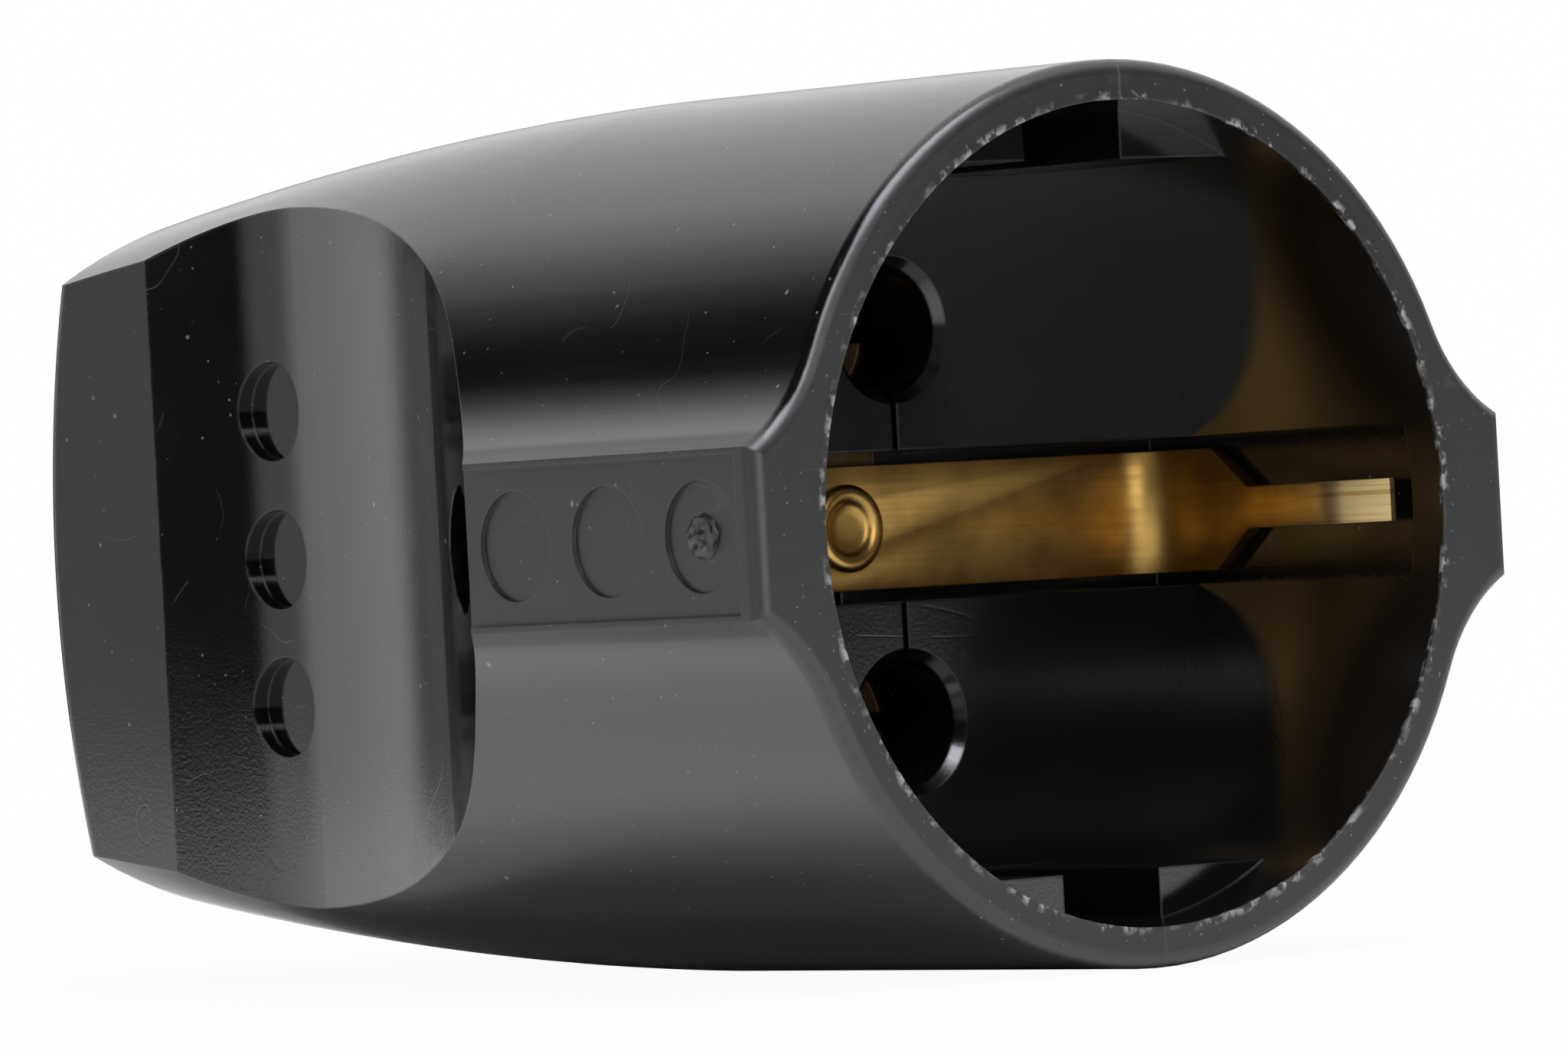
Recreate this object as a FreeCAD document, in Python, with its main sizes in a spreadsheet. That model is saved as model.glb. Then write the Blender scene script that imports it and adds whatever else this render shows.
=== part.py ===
"""Rewirable inline socket: two moulded half shells round brass contacts and an earth strip.

Everything is drawn in the socket's own frame, with X along the socket axis and the mouth at X = 0,
and each finished piece is then placed so that the part lies on its belly: +X out of the mouth,
+Z along the line of the two pin holes, origin under the middle of the part.
"""
import FreeCAD, Part
import math
import os
import Sketcher

SIZES = [
    ("total_length", 70.4, "mouth to rear end, on the axis"),
    ("mouth_radius", 21.45, "outside of the round front"),
    ("straight_length", 30.0, "length of the round front before the body tapers"),
    ("waist_setback", 18.4, "rear end to the waist, where the taper is measured"),
    ("waist_drop", 1.25, "the round front's radius less the half height at the waist"),
    ("tail_drop", 3.75, "the round front's radius less the half height at the rear end"),
    ("tail_narrowing", 0.25, "the same for the half width that the rear end would have without its flats"),
    ("rear_dome_radius", 57.0, "crown of the rear end"),
    ("rear_flat_offset", 12.6, "axis to each rear flat"),
    ("rear_edge_round", 1.0, "rounding round the rear end"),
    ("mouth_edge_round", 0.75, "rounding of the mouth's outer edge"),
    ("wall", 2.0, "wall of the half shells"),
    ("ear_height", 2.25, "flat of each ear, above the round front"),
    ("ear_half_width", 4.0, "half width of that flat"),
    ("ear_flank_radius", 9.0, "hollow flanks of the ears"),
    ("panel_half_width", 3.7, "half width of the sunk panel on each ear"),
    ("panel_depth", 0.45, "depth of that panel"),
    ("panel_lip", 1.4, "lip left at the mouth"),
    ("scoop_front_radius", 41.0, "front curve of the finger scoop in each side"),
    ("scoop_ramp_radius", 90.0, "long shallow ramp behind that curve"),
    ("scoop_ramp_station", 33.0, "start of the ramp, from the mouth"),
    ("scoop_ramp_offset", 16.25, "axis to the start of the ramp"),
    ("scoop_ramp_end", 10.8, "axis to the rear of the ramp"),
    ("scoop_ramp_setback", 19.7, "rear end to the rear of the ramp"),
    ("scoop_rear_radius", 13.8, "tighter curve at the rear of the scoop"),
    ("panel_mark_radius", 2.6, "round sunk fields on the panel"),
    ("panel_mark_depth", 0.2, "their depth"),
    ("panel_mark_first", 4.55, "first field, from the mouth"),
    ("panel_mark_pitch", 6.87, "spacing of these fields"),
    ("scoop_mark_radius", 2.5, "round sunk fields in the scoop"),
    ("scoop_mark_floor", 9.85, "axis to their floors"),
    ("scoop_mark_setback", 17.0, "rear end to these fields"),
    ("scoop_mark_pitch", 7.45, "their spacing"),
    ("rim_thickness", 1.95, "rim round the plug recess"),
    ("recess_depth", 17.6, "mouth to recess floor"),
    ("nose_height", 2.65, "recess wall to the flats of the four guide noses"),
    ("nose_gap", 6.1, "gap between the two noses of a pair"),
    ("nose_setback", 3.6, "mouth to the noses"),
    ("floor_thickness", 6.9, "recess floor, front to back"),
    ("floor_seam_gap", 0.35, "gap between the two halves of the floor"),
    ("pin_pitch", 19.0, "spacing of the pin holes"),
    ("pin_hole_radius", 3.15, "pin holes in the floor"),
    ("pin_hole_lead", 0.45, "widening at the front of each pin hole"),
    ("fit_gap", 0.1, "clearance round pieces held by the shells"),
    ("strip_width", 6.1, "earth strip"),
    ("strip_thickness", 0.8, "earth strip"),
    ("strip_channel_width", 7.3, "channel for the strip, in the floor and the ears"),
    ("strip_set_depth", 4.0, "recess floor to the strip's front face"),
    ("strip_bend_radius", 2.4, "inside of the strip's bends"),
    ("arm_inset", 0.5, "recess wall to the inner face of the strip's arms"),
    ("arm_height", 7.0, "straight arm, from the strip's front face"),
    ("shoulder_length", 2.5, "taper at the end of the arm, down to its finger"),
    ("channel_setback", 2.2, "mouth to the ear channels"),
    ("finger_width", 2.1, "spring finger"),
    ("finger_contact_depth", 6.8, "mouth to the fingers' contact bend"),
    ("finger_contact_reach", 1.9, "recess wall to the contact bend"),
    ("finger_bend_radius", 3.0, "contact bend"),
    ("finger_tip_depth", 3.2, "mouth to the fingertips"),
    ("finger_tip_reach", 0.9, "recess wall to the fingertips"),
    ("rivet_head_radius", 2.15, "earth rivet"),
    ("rivet_head_height", 0.4, "rolled rim of the earth rivet"),
    ("rivet_cup_radius", 1.2, "dished middle of the earth rivet"),
    ("rivet_shank_radius", 1.2, "earth rivet"),
    ("tab_thickness", 0.7, "earth tab"),
    ("tab_width", 5.0, "earth tab"),
    ("shell_screw_station", 28.0, "screw that joins the shells, from the mouth"),
    ("shell_screw_radius", 1.5, "its shank"),
    ("shell_screw_seat", 10.0, "axis to the seat of its head, and of its nut"),
    ("screw_head_radius", 2.7, "heads of all the screws"),
    ("screw_head_height", 1.8, "heads of all the screws"),
    ("screw_slot_width", 0.8, "slots of all the screws"),
    ("screw_slot_depth", 0.9, "slots of all the screws"),
    ("counterbore_radius", 3.1, "access to the head of the shell screw"),
    ("boss_radius", 3.6, "boss round the shell screw"),
    ("boss_seat_radius", 4.4, "thicker boss under its head and nut"),
    ("boss_seat_floor", 1.6, "plastic under its head and nut"),
    ("nut_across_flats", 5.5, "hexagon nut"),
    ("nut_height", 2.4, "hexagon nut"),
    ("contact_radius", 3.6, "brass contacts"),
    ("contact_length", 23.5, "brass contacts"),
    ("contact_bore_radius", 2.45, "bore for the plug's pins"),
    ("contact_bore_depth", 14.5, "bore for the plug's pins"),
    ("contact_slit", 0.9, "slit that lets the contact spring"),
    ("contact_slit_length", 11.5, "slit that lets the contact spring"),
    ("contact_seat_depth", 1.0, "seat of the contact in the back of the floor"),
    ("cradle_gap", 0.7, "terminal screws' heads to the ribs that hold the contacts"),
    ("cradle_thickness", 2.0, "these ribs"),
    ("wire_hole_radius", 1.7, "wire holes of the terminals"),
    ("wire_hole_depth", 7.0, "wire holes of the terminals"),
    ("terminal_screw_radius", 1.5, "terminal screws"),
    ("terminal_screw_length", 2.7, "terminal screws, under the head"),
    ("terminal_screw_setback", 4.0, "rear end of a terminal to its screw"),
    ("terminal_screw_lift", 0.3, "gap left under each terminal screw's head"),
    ("earth_block_length", 7.5, "earth terminal"),
    ("earth_block_height", 6.2, "earth terminal"),
    ("rear_wall", 6.0, "rear wall round the cable entry"),
    ("cable_radius", 4.75, "cable entry"),
    ("clamp_setback", 13.0, "rear end to the cord clamp"),
    ("clamp_width", 6.0, "cord clamp"),
    ("clamp_thickness", 1.5, "cord clamp"),
    ("clamp_screw_offset", 8.2, "axis to each clamp screw"),
    ("clamp_post_radius", 3.0, "posts under the clamp"),
    ("clamp_post_reach", 3.9, "posts, past the parting plane"),
    ("clamp_screw_radius", 1.5, "clamp screws"),
    ("clamp_screw_length", 9.0, "clamp screws, under the head"),
    ("clamp_tooth_height", 0.6, "ridges that bite the cord"),
    ("clamp_tooth_width", 0.9, "ridges that bite the cord"),
    ("saddle_thickness", 2.0, "rib under the cord"),
    ("peg_radius", 1.3, "pegs that line up the shells at the rear"),
    ("peg_length", 2.5, "these pegs"),
    ("peg_offset", 11.0, "axis to each peg"),
    ("peg_setback", 3.5, "rear end to each peg"),
]

VECTOR = FreeCAD.Vector
ALONG_AXIS = FreeCAD.Rotation(VECTOR(0, 1, 0), -90)
ACROSS = FreeCAD.Rotation(VECTOR(1, 0, 0), 90)
UPRIGHT = FreeCAD.Rotation()
SPAN = "(4 * dims.mouth_radius)"

doc = FreeCAD.newDocument("inline_socket")
sheet = doc.addObject("Spreadsheet::Sheet", "dims")
for row, (alias, value, note) in enumerate(SIZES, start=1):
    sheet.set("A%d" % row, note)
    sheet.set("B%d" % row, str(value))
    sheet.setAlias("B%d" % row, alias)
doc.recompute()


def size(expression):
    """The present value of an expression on the sheet."""
    return float(sheet.evalExpression(expression))


def bind(item, **expressions):
    for name, expression in expressions.items():
        item.setExpression(name.replace("__", "."), expression)
    return item


def place(item, turn, x="0", y="0", z="0"):
    """Turn an object and bind its place in the socket frame."""
    item.Placement = FreeCAD.Placement(VECTOR(size(x), size(y), size(z)), turn)
    return bind(item, Placement__Base__x=x, Placement__Base__y=y, Placement__Base__z=z)


def cylinder(name, turn, radius, height, x="0", y="0", z="0"):
    item = doc.addObject("Part::Cylinder", name)
    bind(item, Radius=radius, Height=height)
    return place(item, turn, x, y, z)


def bar_along_axis(name, radius, front, length, z="0"):
    """A round bar from a depth behind the mouth towards the rear."""
    return cylinder(name, ALONG_AXIS, radius, length, x="-(%s)" % front, z=z)


def bar_across(name, radius, station, start, length, z="0"):
    """A round bar along -Y, from Y = start, at a station behind the mouth."""
    return cylinder(name, ACROSS, radius, length, x="-(%s)" % station, y=start, z=z)


def block(name, rear, front, left, right, low, high):
    """A box between planes of the socket frame, all given as expressions."""
    item = doc.addObject("Part::Box", name)
    bind(item, Length="(%s) - (%s)" % (front, rear), Width="(%s) - (%s)" % (right, left))
    bind(item, Height="(%s) - (%s)" % (high, low))
    return place(item, UPRIGHT, rear, left, low)


def fuse(name, *items):
    item = doc.addObject("Part::MultiFuse", name)
    item.Shapes = list(items)
    return item


def common(name, *items):
    item = doc.addObject("Part::MultiCommon", name)
    item.Shapes = list(items)
    return item


def cut(name, base, *tools):
    item = doc.addObject("Part::Cut", name)
    item.Base = base
    item.Tool = tools[0] if len(tools) == 1 else fuse(name + "_tools", *tools)
    return item


def round_edges(name, base, alias, chosen):
    """Round the edges of a Part object that the test picks out."""
    doc.recompute()
    radius = size("dims." + alias)
    item = doc.addObject("Part::Fillet", name)
    item.Base = base
    item.Edges = [(i, radius, radius) for i, edge in enumerate(base.Shape.Edges, start=1) if chosen(edge)]
    return item


def body(name):
    item = doc.addObject("PartDesign::Body", name)
    item.Label = name
    return item


def sketch(owner, name, plane, offset=None):
    """A sketch on one of its body's origin planes, moved off it along its normal."""
    item = owner.newObject("Sketcher::SketchObject", name)
    support = [p for p in owner.Origin.OriginFeatures if p.Role == plane][0]
    item.AttachmentSupport = [(support, "")]
    item.MapMode = "FlatFace"
    if offset:
        bind(item, AttachmentOffset__Base__z=offset)
    return item


def pin_point(item, geometry, end, point):
    """Fix one point of a sketch by two expressions."""
    for kind, expression in zip(("DistanceX", "DistanceY"), point):
        rule = item.addConstraint(Sketcher.Constraint(kind, geometry, end, size(expression)))
        bind(item, **{"Constraints[%d]" % rule: expression})


def outline(item, points):
    """A closed outline of straight edges through points given as expressions."""
    places = [VECTOR(size(x), size(y), 0) for x, y in points]
    first = item.GeometryCount
    count = len(points)
    for i in range(count):
        item.addGeometry(Part.LineSegment(places[i], places[(i + 1) % count]), False)
    for i in range(count):
        item.addConstraint(Sketcher.Constraint("Coincident", first + i, 2, first + (i + 1) % count, 1))
    for i in range(count):
        pin_point(item, first + i, 1, points[i])
    return item


def circle(item, x, y, radius):
    ring = Part.Circle(VECTOR(size(x), size(y), 0), VECTOR(0, 0, 1), size(radius))
    index = item.addGeometry(ring, False)
    pin_point(item, index, 3, (x, y))
    rule = item.addConstraint(Sketcher.Constraint("Radius", index, size(radius)))
    bind(item, **{"Constraints[%d]" % rule: radius})
    return item


def pad(owner, name, profile, length, midplane=False, reverse=False):
    item = owner.newObject("PartDesign::Pad", name)
    item.Profile = profile
    item.Midplane = midplane
    item.Reversed = reverse
    return bind(item, Length=length)


def pocket(owner, name, profile, length, midplane=False, reverse=False):
    """A pocket that is checked to take something away."""
    doc.recompute()
    before = owner.Shape.Volume
    item = owner.newObject("PartDesign::Pocket", name)
    item.Profile = profile
    item.Midplane = midplane
    item.Reversed = reverse
    bind(item, Length=length)
    doc.recompute()
    if owner.Shape.Volume >= before:
        raise RuntimeError("pocket cuts nothing: " + name)
    return item


def revolve(owner, name, profile, axis):
    item = owner.newObject("PartDesign::Revolution", name)
    item.Profile = profile
    item.ReferenceAxis = (profile, [axis])
    item.Angle = 360
    return item


def round_body(owner, name, radius, chosen):
    """Round the edges of a body that the test picks out."""
    doc.recompute()
    base = owner.Tip
    names = ["Edge%d" % i for i, edge in enumerate(base.Shape.Edges, start=1) if chosen(edge)]
    item = owner.newObject("PartDesign::Fillet", name)
    item.Base = (base, names)
    return bind(item, Radius=radius)


def oval(name, half_width, half_height, depth):
    """A cross-section of the body, half_width across and half_height up."""
    item = doc.addObject("Part::Ellipse", name)
    bind(item, MajorRadius=half_width, MinorRadius=half_height)
    quarter = FreeCAD.Rotation(VECTOR(0, 0, 1), 90)
    return place(item, ALONG_AXIS.multiply(quarter), x="-(%s)" % depth)


def barrel(name, inset):
    """The tapering body behind the round front, drawn in from the outside by inset."""
    front = "dims.mouth_radius - (%s)" % inset
    sections = [
        oval(name + "_front", front, front, "dims.straight_length"),
        oval(name + "_waist", front, front + " - dims.waist_drop", WAIST),
        oval(name + "_tail", front + " - dims.tail_narrowing", front + " - dims.tail_drop", "dims.total_length"),
    ]
    item = doc.addObject("Part::Loft", name)
    item.Sections = sections
    item.Solid = True
    return item


# Depths behind the mouth that several pieces share
FLOOR_BACK = "(dims.recess_depth + dims.floor_thickness)"
STRIP_FRONT = "(dims.recess_depth + dims.strip_set_depth)"
STRIP_BACK = "(%s + dims.strip_thickness)" % STRIP_FRONT
TAB_BACK = "(%s + dims.tab_thickness)" % STRIP_BACK
CONTACT_FRONT = "(%s - dims.contact_seat_depth)" % FLOOR_BACK
CONTACT_BACK = "(%s + dims.contact_length)" % CONTACT_FRONT
CAVITY_BACK = "(dims.total_length - dims.rear_wall)"
TAB_LOW = "(dims.boss_radius + dims.fit_gap)"
TAB_HIGH = "(%s + dims.tab_thickness)" % TAB_LOW
EARTH_FRONT = "(dims.shell_screw_station + dims.boss_radius + dims.wall)"
EARTH_BACK = "(%s + dims.earth_block_length)" % EARTH_FRONT
WAIST = "(dims.total_length - dims.waist_setback)"
CLAMP = "(dims.total_length - dims.clamp_setback)"
SCOOP_MARKS = "(dims.total_length - dims.scoop_mark_setback)"
RECESS = "(dims.mouth_radius - dims.rim_thickness)"
NOSES = "(%s - dims.nose_height)" % RECESS
ARM_INNER = "(%s + dims.arm_inset)" % RECESS
ARM_OUTER = "(%s + dims.strip_thickness)" % ARM_INNER
CRADLE_BACK = ("(%s - dims.terminal_screw_setback - dims.screw_head_radius - dims.cradle_gap)" % CONTACT_BACK)
CRADLE = "(%s - dims.cradle_thickness / 2)" % CRADLE_BACK
EAR = "(dims.mouth_radius + dims.ear_height)"
RAMP_RUN = "(dims.total_length - dims.scoop_ramp_setback - dims.scoop_ramp_station)"
RAMP_FALL = "(dims.scoop_ramp_offset - dims.scoop_ramp_end)"
RAMP_LENGTH = "sqrt(%s ^ 2 + %s ^ 2)" % (RAMP_RUN, RAMP_FALL)
HALF_PITCH = "(dims.pin_pitch / 2)"


def ear(name, side):
    """One ear: a flat on hollow flanks that run out into the round front, from mouth to scoop."""
    owner = body(name)
    reach = size(EAR)
    half = size("dims.ear_half_width")
    front = size("dims.mouth_radius")
    flank = size("dims.ear_flank_radius")
    # Each flank touches the round front and ends at a corner of the flat
    corner = math.hypot(reach, half)
    along = ((front + flank) ** 2 - flank ** 2 + corner ** 2) / (2 * corner)
    turn = math.atan2(half, reach) + math.acos(along / (front + flank))
    middle = VECTOR(side * math.cos(turn), math.sin(turn), 0) * (front + flank)
    touch = VECTOR(side * math.cos(turn), math.sin(turn), 0) * front
    tip = VECTOR(side * reach, half, 0)
    mirror = VECTOR(1, -1, 0)

    def flipped(v):
        return VECTOR(v.x * mirror.x, v.y * mirror.y, 0)

    def hollow(start, centre, end):
        bulge = (start + end) * 0.5 - centre
        return Part.Arc(start, centre + bulge.normalize() * flank, end)

    plan = sketch(owner, name + "_plan", "YZ_Plane")
    plan.addGeometry(Part.LineSegment(flipped(tip), tip), False)
    plan.addGeometry(hollow(tip, middle, touch), False)
    plan.addGeometry(Part.LineSegment(touch, flipped(touch)), False)
    plan.addGeometry(hollow(flipped(touch), flipped(middle), flipped(tip)), False)
    item = pad(owner, name + "_pad", plan, "dims.shell_screw_station + dims.counterbore_radius", reverse=True)
    return owner, item


def side_scoops(name, inset):
    """Cutters for both finger scoops: a front curve, a long shallow ramp and a tighter rear curve."""
    rise = "sqrt(dims.scoop_ramp_radius ^ 2 - %s ^ 2 / 4)" % RAMP_LENGTH
    ramp_x = "(-dims.scoop_ramp_station - %s / 2 - %s * %s / %s)" % (RAMP_RUN, rise, RAMP_FALL, RAMP_LENGTH)
    ramp_y = "((dims.scoop_ramp_offset + dims.scoop_ramp_end) / 2 + %s * %s / %s)" % (rise, RAMP_RUN, RAMP_LENGTH)
    deeper = "(%s + dims.wall) / dims.scoop_ramp_radius" % inset
    low = "-%s / 2" % SPAN
    centres = []
    under_ramp = []
    # Each end curve touches the ramp, so its centre lies on a line to the ramp's own centre
    for radius, x, y in (
        ("dims.scoop_front_radius", "(-dims.scoop_ramp_station)", "dims.scoop_ramp_offset"),
        ("dims.scoop_rear_radius", "(dims.scoop_ramp_setback - dims.total_length)", "dims.scoop_ramp_end"),
    ):
        to_x = "(%s - %s)" % (ramp_x, x)
        to_y = "(%s - %s)" % (ramp_y, y)
        share = "%s / dims.scoop_ramp_radius" % radius
        centres.append(("%s + %s * %s" % (x, to_x, share), "(%s + %s * %s)" % (y, to_y, share)))
        under_ramp.append(("%s - %s * %s" % (x, to_x, deeper), "(%s - %s * %s)" % (y, to_y, deeper)))
    tools = []
    for word, sign in (("screw_side", "-"), ("nut_side", "")):
        label = "%s_%s" % (name, word)
        for end, (x, y) in zip(("front", "rear"), centres):
            tools.append(cylinder("%s_%s" % (label, end), UPRIGHT, "dims.scoop_%s_radius + %s" % (end, inset),
                                  SPAN, x=x, y=sign + y, z=low))
        wedge = body(label + "_wedge")
        plan = sketch(wedge, label + "_wedge_plan", "XY_Plane")
        corners = [centres[0], under_ramp[0], under_ramp[1], centres[1]]
        outline(plan, [(x, sign + y) for x, y in corners])
        pad(wedge, label + "_wedge_pad", plan, SPAN, midplane=True)
        curve = cylinder(label + "_curve", UPRIGHT, "dims.scoop_ramp_radius + %s" % inset, SPAN, x=ramp_x,
                         y=sign + ramp_y, z=low)
        tools.append(common(label + "_ramp", wedge, curve))
    return tools


def outside_form():
    """The whole outside of the closed housing."""
    front = bar_along_axis("round_front", "dims.mouth_radius", "0", "dims.straight_length")
    ears = [ear("ear_" + word, side)[0] for word, side in (("screw_side", -1), ("nut_side", 1))]
    blank = fuse("blank", front, barrel("tapered_body", "0"), *ears)
    at_mouth = round_edges("mouth_rounded", blank, "mouth_edge_round", lambda e: e.BoundBox.XMin > -1e-4)
    dome = bar_across("rear_dome", "dims.rear_dome_radius", "dims.total_length - dims.rear_dome_radius",
                      SPAN + " / 2", SPAN)
    flats = [
        block("rear_flat_" + word, "-dims.total_length - dims.wall", "-" + WAIST, low, high,
              "-" + SPAN + " / 2", SPAN + " / 2")
        for word, low, high in (
            ("screw_side", "-" + SPAN + " / 2", "-dims.rear_flat_offset"),
            ("nut_side", "dims.rear_flat_offset", SPAN + " / 2"),
        )
    ]
    domed = common("domed", at_mouth, dome)
    carved = cut("carved", domed, *side_scoops("scoop", "0"), *flats)
    rear = -size("dims.total_length") + size("dims.rear_wall")
    rounded = round_edges("outside", carved, "rear_edge_round", lambda e: e.BoundBox.XMax < rear + 1e-4)
    return rounded


def inner_space():
    """The hollow behind the recess floor, a wall's thickness inside the outside."""
    inner_barrel = barrel("inner_barrel", "dims.wall")
    inner_front = bar_along_axis("inner_front", "dims.mouth_radius - dims.wall", FLOOR_BACK,
                                 "dims.straight_length - " + FLOOR_BACK)
    length = block("hollow_length", "-" + CAVITY_BACK, "-" + FLOOR_BACK, "-dims.rear_flat_offset + dims.wall",
                   "dims.rear_flat_offset - dims.wall", "-dims.mouth_radius", "dims.mouth_radius")
    front_room = block("front_room", "-" + WAIST, "-" + FLOOR_BACK, "-dims.mouth_radius",
                       "dims.mouth_radius", "-dims.mouth_radius", "dims.mouth_radius")
    bounds = common("hollow_bounds", fuse("inner_round", inner_barrel, inner_front),
                    fuse("hollow_room", length, front_room))
    return cut("hollow", bounds, *side_scoops("inner_scoop", "dims.wall"))


def plug_recess():
    """The round recess with its four guide noses left standing."""
    round_recess = bar_along_axis("round_recess", RECESS, "0", "dims.recess_depth")
    noses = [
        block("noses_" + word, "-dims.recess_depth", "-dims.nose_setback", "-" + RECESS,
              RECESS, low, high)
        for word, low, high in (
            ("low", "-dims.mouth_radius", "-" + NOSES),
            ("high", NOSES, "dims.mouth_radius"),
        )
    ]
    between = block("nose_gaps", "-dims.recess_depth", "0", "-dims.nose_gap / 2", "dims.nose_gap / 2",
                    "-" + RECESS, RECESS)
    clear_gap = common("clear_gap", between, bar_along_axis("recess_bar", RECESS, "0",
                                                            "dims.recess_depth"))
    return fuse("plug_recess", cut("nosed_recess", round_recess, *noses), clear_gap)


def lead_in(name, radius, widening, front, z):
    """A cone that widens the front of a hole."""
    item = doc.addObject("Part::Cone", name)
    bind(item, Radius1="%s + %s" % (radius, widening), Radius2=radius, Height=widening)
    return place(item, ALONG_AXIS, x="-(%s)" % front, z=z)


def floor_cuts():
    """Openings in the recess floor: pin holes, contact seats, strip channel, tab pocket and seam."""
    holes = []
    for word, z in (("line", HALF_PITCH), ("neutral", "-" + HALF_PITCH)):
        holes.append(bar_along_axis(word + "_pin_hole", "dims.pin_hole_radius", "dims.recess_depth - dims.wall",
                                    "dims.floor_thickness + 2 * dims.wall", z))
        holes.append(lead_in(word + "_lead_in", "dims.pin_hole_radius", "dims.pin_hole_lead", "dims.recess_depth",
                             z))
        holes.append(bar_along_axis(word + "_seat", "dims.contact_radius + dims.fit_gap",
                                    CONTACT_FRONT + " - dims.fit_gap",
                                    "dims.contact_seat_depth + dims.wall", z))
    reach = ARM_OUTER + " + dims.fit_gap"
    half = "dims.strip_channel_width / 2"
    channel = block("strip_channel", "-%s - dims.fit_gap" % STRIP_BACK, "-dims.channel_setback",
                    "-(%s)" % reach, reach, "-" + half, half)
    tab_half = "dims.tab_width / 2 + dims.fit_gap"
    tab_room = block("tab_room", "-(%s) - dims.fit_gap" % TAB_BACK, "-" + STRIP_FRONT, "-(%s)" % tab_half,
                     tab_half, "-dims.rivet_head_radius - dims.fit_gap", TAB_HIGH + " + dims.fit_gap")
    over_boss = block("tab_over_boss", "-(%s) - dims.wall" % FLOOR_BACK, "-" + STRIP_FRONT, "-(%s)" % tab_half,
                      tab_half, TAB_LOW + " - dims.fit_gap", TAB_HIGH + " + dims.fit_gap")
    seam = block("floor_seam", "-(%s) - dims.wall" % FLOOR_BACK, "-dims.recess_depth",
                 "-dims.floor_seam_gap / 2",
                 "dims.floor_seam_gap / 2", "-" + NOSES, NOSES)
    return holes + [channel, tab_room, over_boss, seam]


def inner_ribs(space):
    """Ribs, bosses and posts that stand in the hollow."""
    station = CRADLE
    half = "dims.cradle_thickness / 2"
    rear = "-%s - %s" % (station, half)
    front = "-%s + %s" % (station, half)
    low_edge = "%s - dims.contact_radius - dims.wall / 2" % HALF_PITCH
    cradles = [
        block("cradle_" + word, rear, front, "-dims.mouth_radius", "dims.mouth_radius", low, high)
        for word, low, high in (
            ("line", low_edge, "dims.mouth_radius"),
            ("neutral", "-dims.mouth_radius", "-(%s)" % low_edge),
        )
    ]
    held = [
        bar_along_axis("cradle_notch_" + word, "dims.contact_radius + dims.fit_gap",
                       "%s - dims.cradle_thickness" % station, "2 * dims.cradle_thickness", z)
        for word, z in (("line", HALF_PITCH), ("neutral", "-" + HALF_PITCH))
    ]
    cradle_ribs = cut("cradle_ribs", fuse("cradle_plates", *cradles), *held)
    boss = bar_across("screw_boss", "dims.boss_radius", "dims.shell_screw_station", "dims.mouth_radius",
                      "2 * dims.mouth_radius")
    seat = "dims.shell_screw_seat - dims.boss_seat_floor"
    seats = [
        bar_across("boss_seat_" + word, "dims.boss_seat_radius", "dims.shell_screw_station", start,
                   "dims.mouth_radius")
        for word, start in (("screw_side", "-(%s)" % seat), ("nut_side", "%s + dims.mouth_radius" % seat))
    ]
    return common("inner_ribs", fuse("rib_blanks", cradle_ribs, boss, *seats), space)


def clamp_posts(space):
    """Two posts and a saddle rib that carry the cord and its clamp, on the nut side only."""
    posts = [
        bar_across("clamp_post_" + word, "dims.clamp_post_radius", CLAMP, "dims.mouth_radius",
                   "dims.mouth_radius + dims.clamp_post_reach", z)
        for word, z in (("high", "dims.clamp_screw_offset"), ("low", "-dims.clamp_screw_offset"))
    ]
    rib = block("saddle_rib", "-%s - dims.saddle_thickness / 2" % CLAMP,
                "-%s + dims.saddle_thickness / 2" % CLAMP, "0", "dims.mouth_radius",
                "-dims.clamp_screw_offset", "dims.clamp_screw_offset")
    cord = bar_along_axis("cord_room", "dims.cable_radius", CLAMP + " - dims.clamp_width", "dims.total_length")
    return common("clamp_posts", cut("posts_and_saddle", fuse("post_blanks", *posts, rib), cord), space)


def housing_cuts():
    """Holes that both halves share: the cable entry and the shell screw's hole."""
    entry = bar_along_axis("cable_entry", "dims.cable_radius", CAVITY_BACK + " - dims.wall",
                           "dims.rear_wall + 2 * dims.wall")
    hole = bar_across("shell_screw_hole", "dims.shell_screw_radius + dims.fit_gap", "dims.shell_screw_station",
                      "dims.mouth_radius", "2 * dims.mouth_radius")
    return [entry, hole]


def panels():
    """The sunk panels on the two ears."""
    return [
        block("panel_" + word, "-" + WAIST, "-dims.panel_lip", low, high, "-dims.panel_half_width",
              "dims.panel_half_width")
        for word, low, high in (
            ("screw_side", "-%s - dims.wall" % EAR, "-%s + dims.panel_depth" % EAR),
            ("nut_side", EAR + " - dims.panel_depth", EAR + " + dims.wall"),
        )
    ]


def sunk_fields():
    """Round sunk fields on the screw side: three on the panel, three in the scoop."""
    fields = []
    level = "-%s + dims.panel_depth + dims.panel_mark_depth" % EAR
    for i in range(3):
        station = "dims.panel_mark_first + %d * dims.panel_mark_pitch" % i
        fields.append(bar_across("panel_field_%d" % i, "dims.panel_mark_radius", station, level, "dims.wall"))
    for i in (-1, 0, 1):
        fields.append(bar_across("scoop_field_%d" % (i + 1), "dims.scoop_mark_radius", SCOOP_MARKS,
                                 "-dims.scoop_mark_floor", "dims.wall", "%d * dims.scoop_mark_pitch" % i))
    return fields


def half_room(name, low, high):
    return block(name, "-" + SPAN, SPAN, low, high, "-" + SPAN, SPAN)


def peg(name, radius, length, z):
    return bar_across(name, radius, "dims.total_length - dims.peg_setback", "0", length, z)


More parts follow.
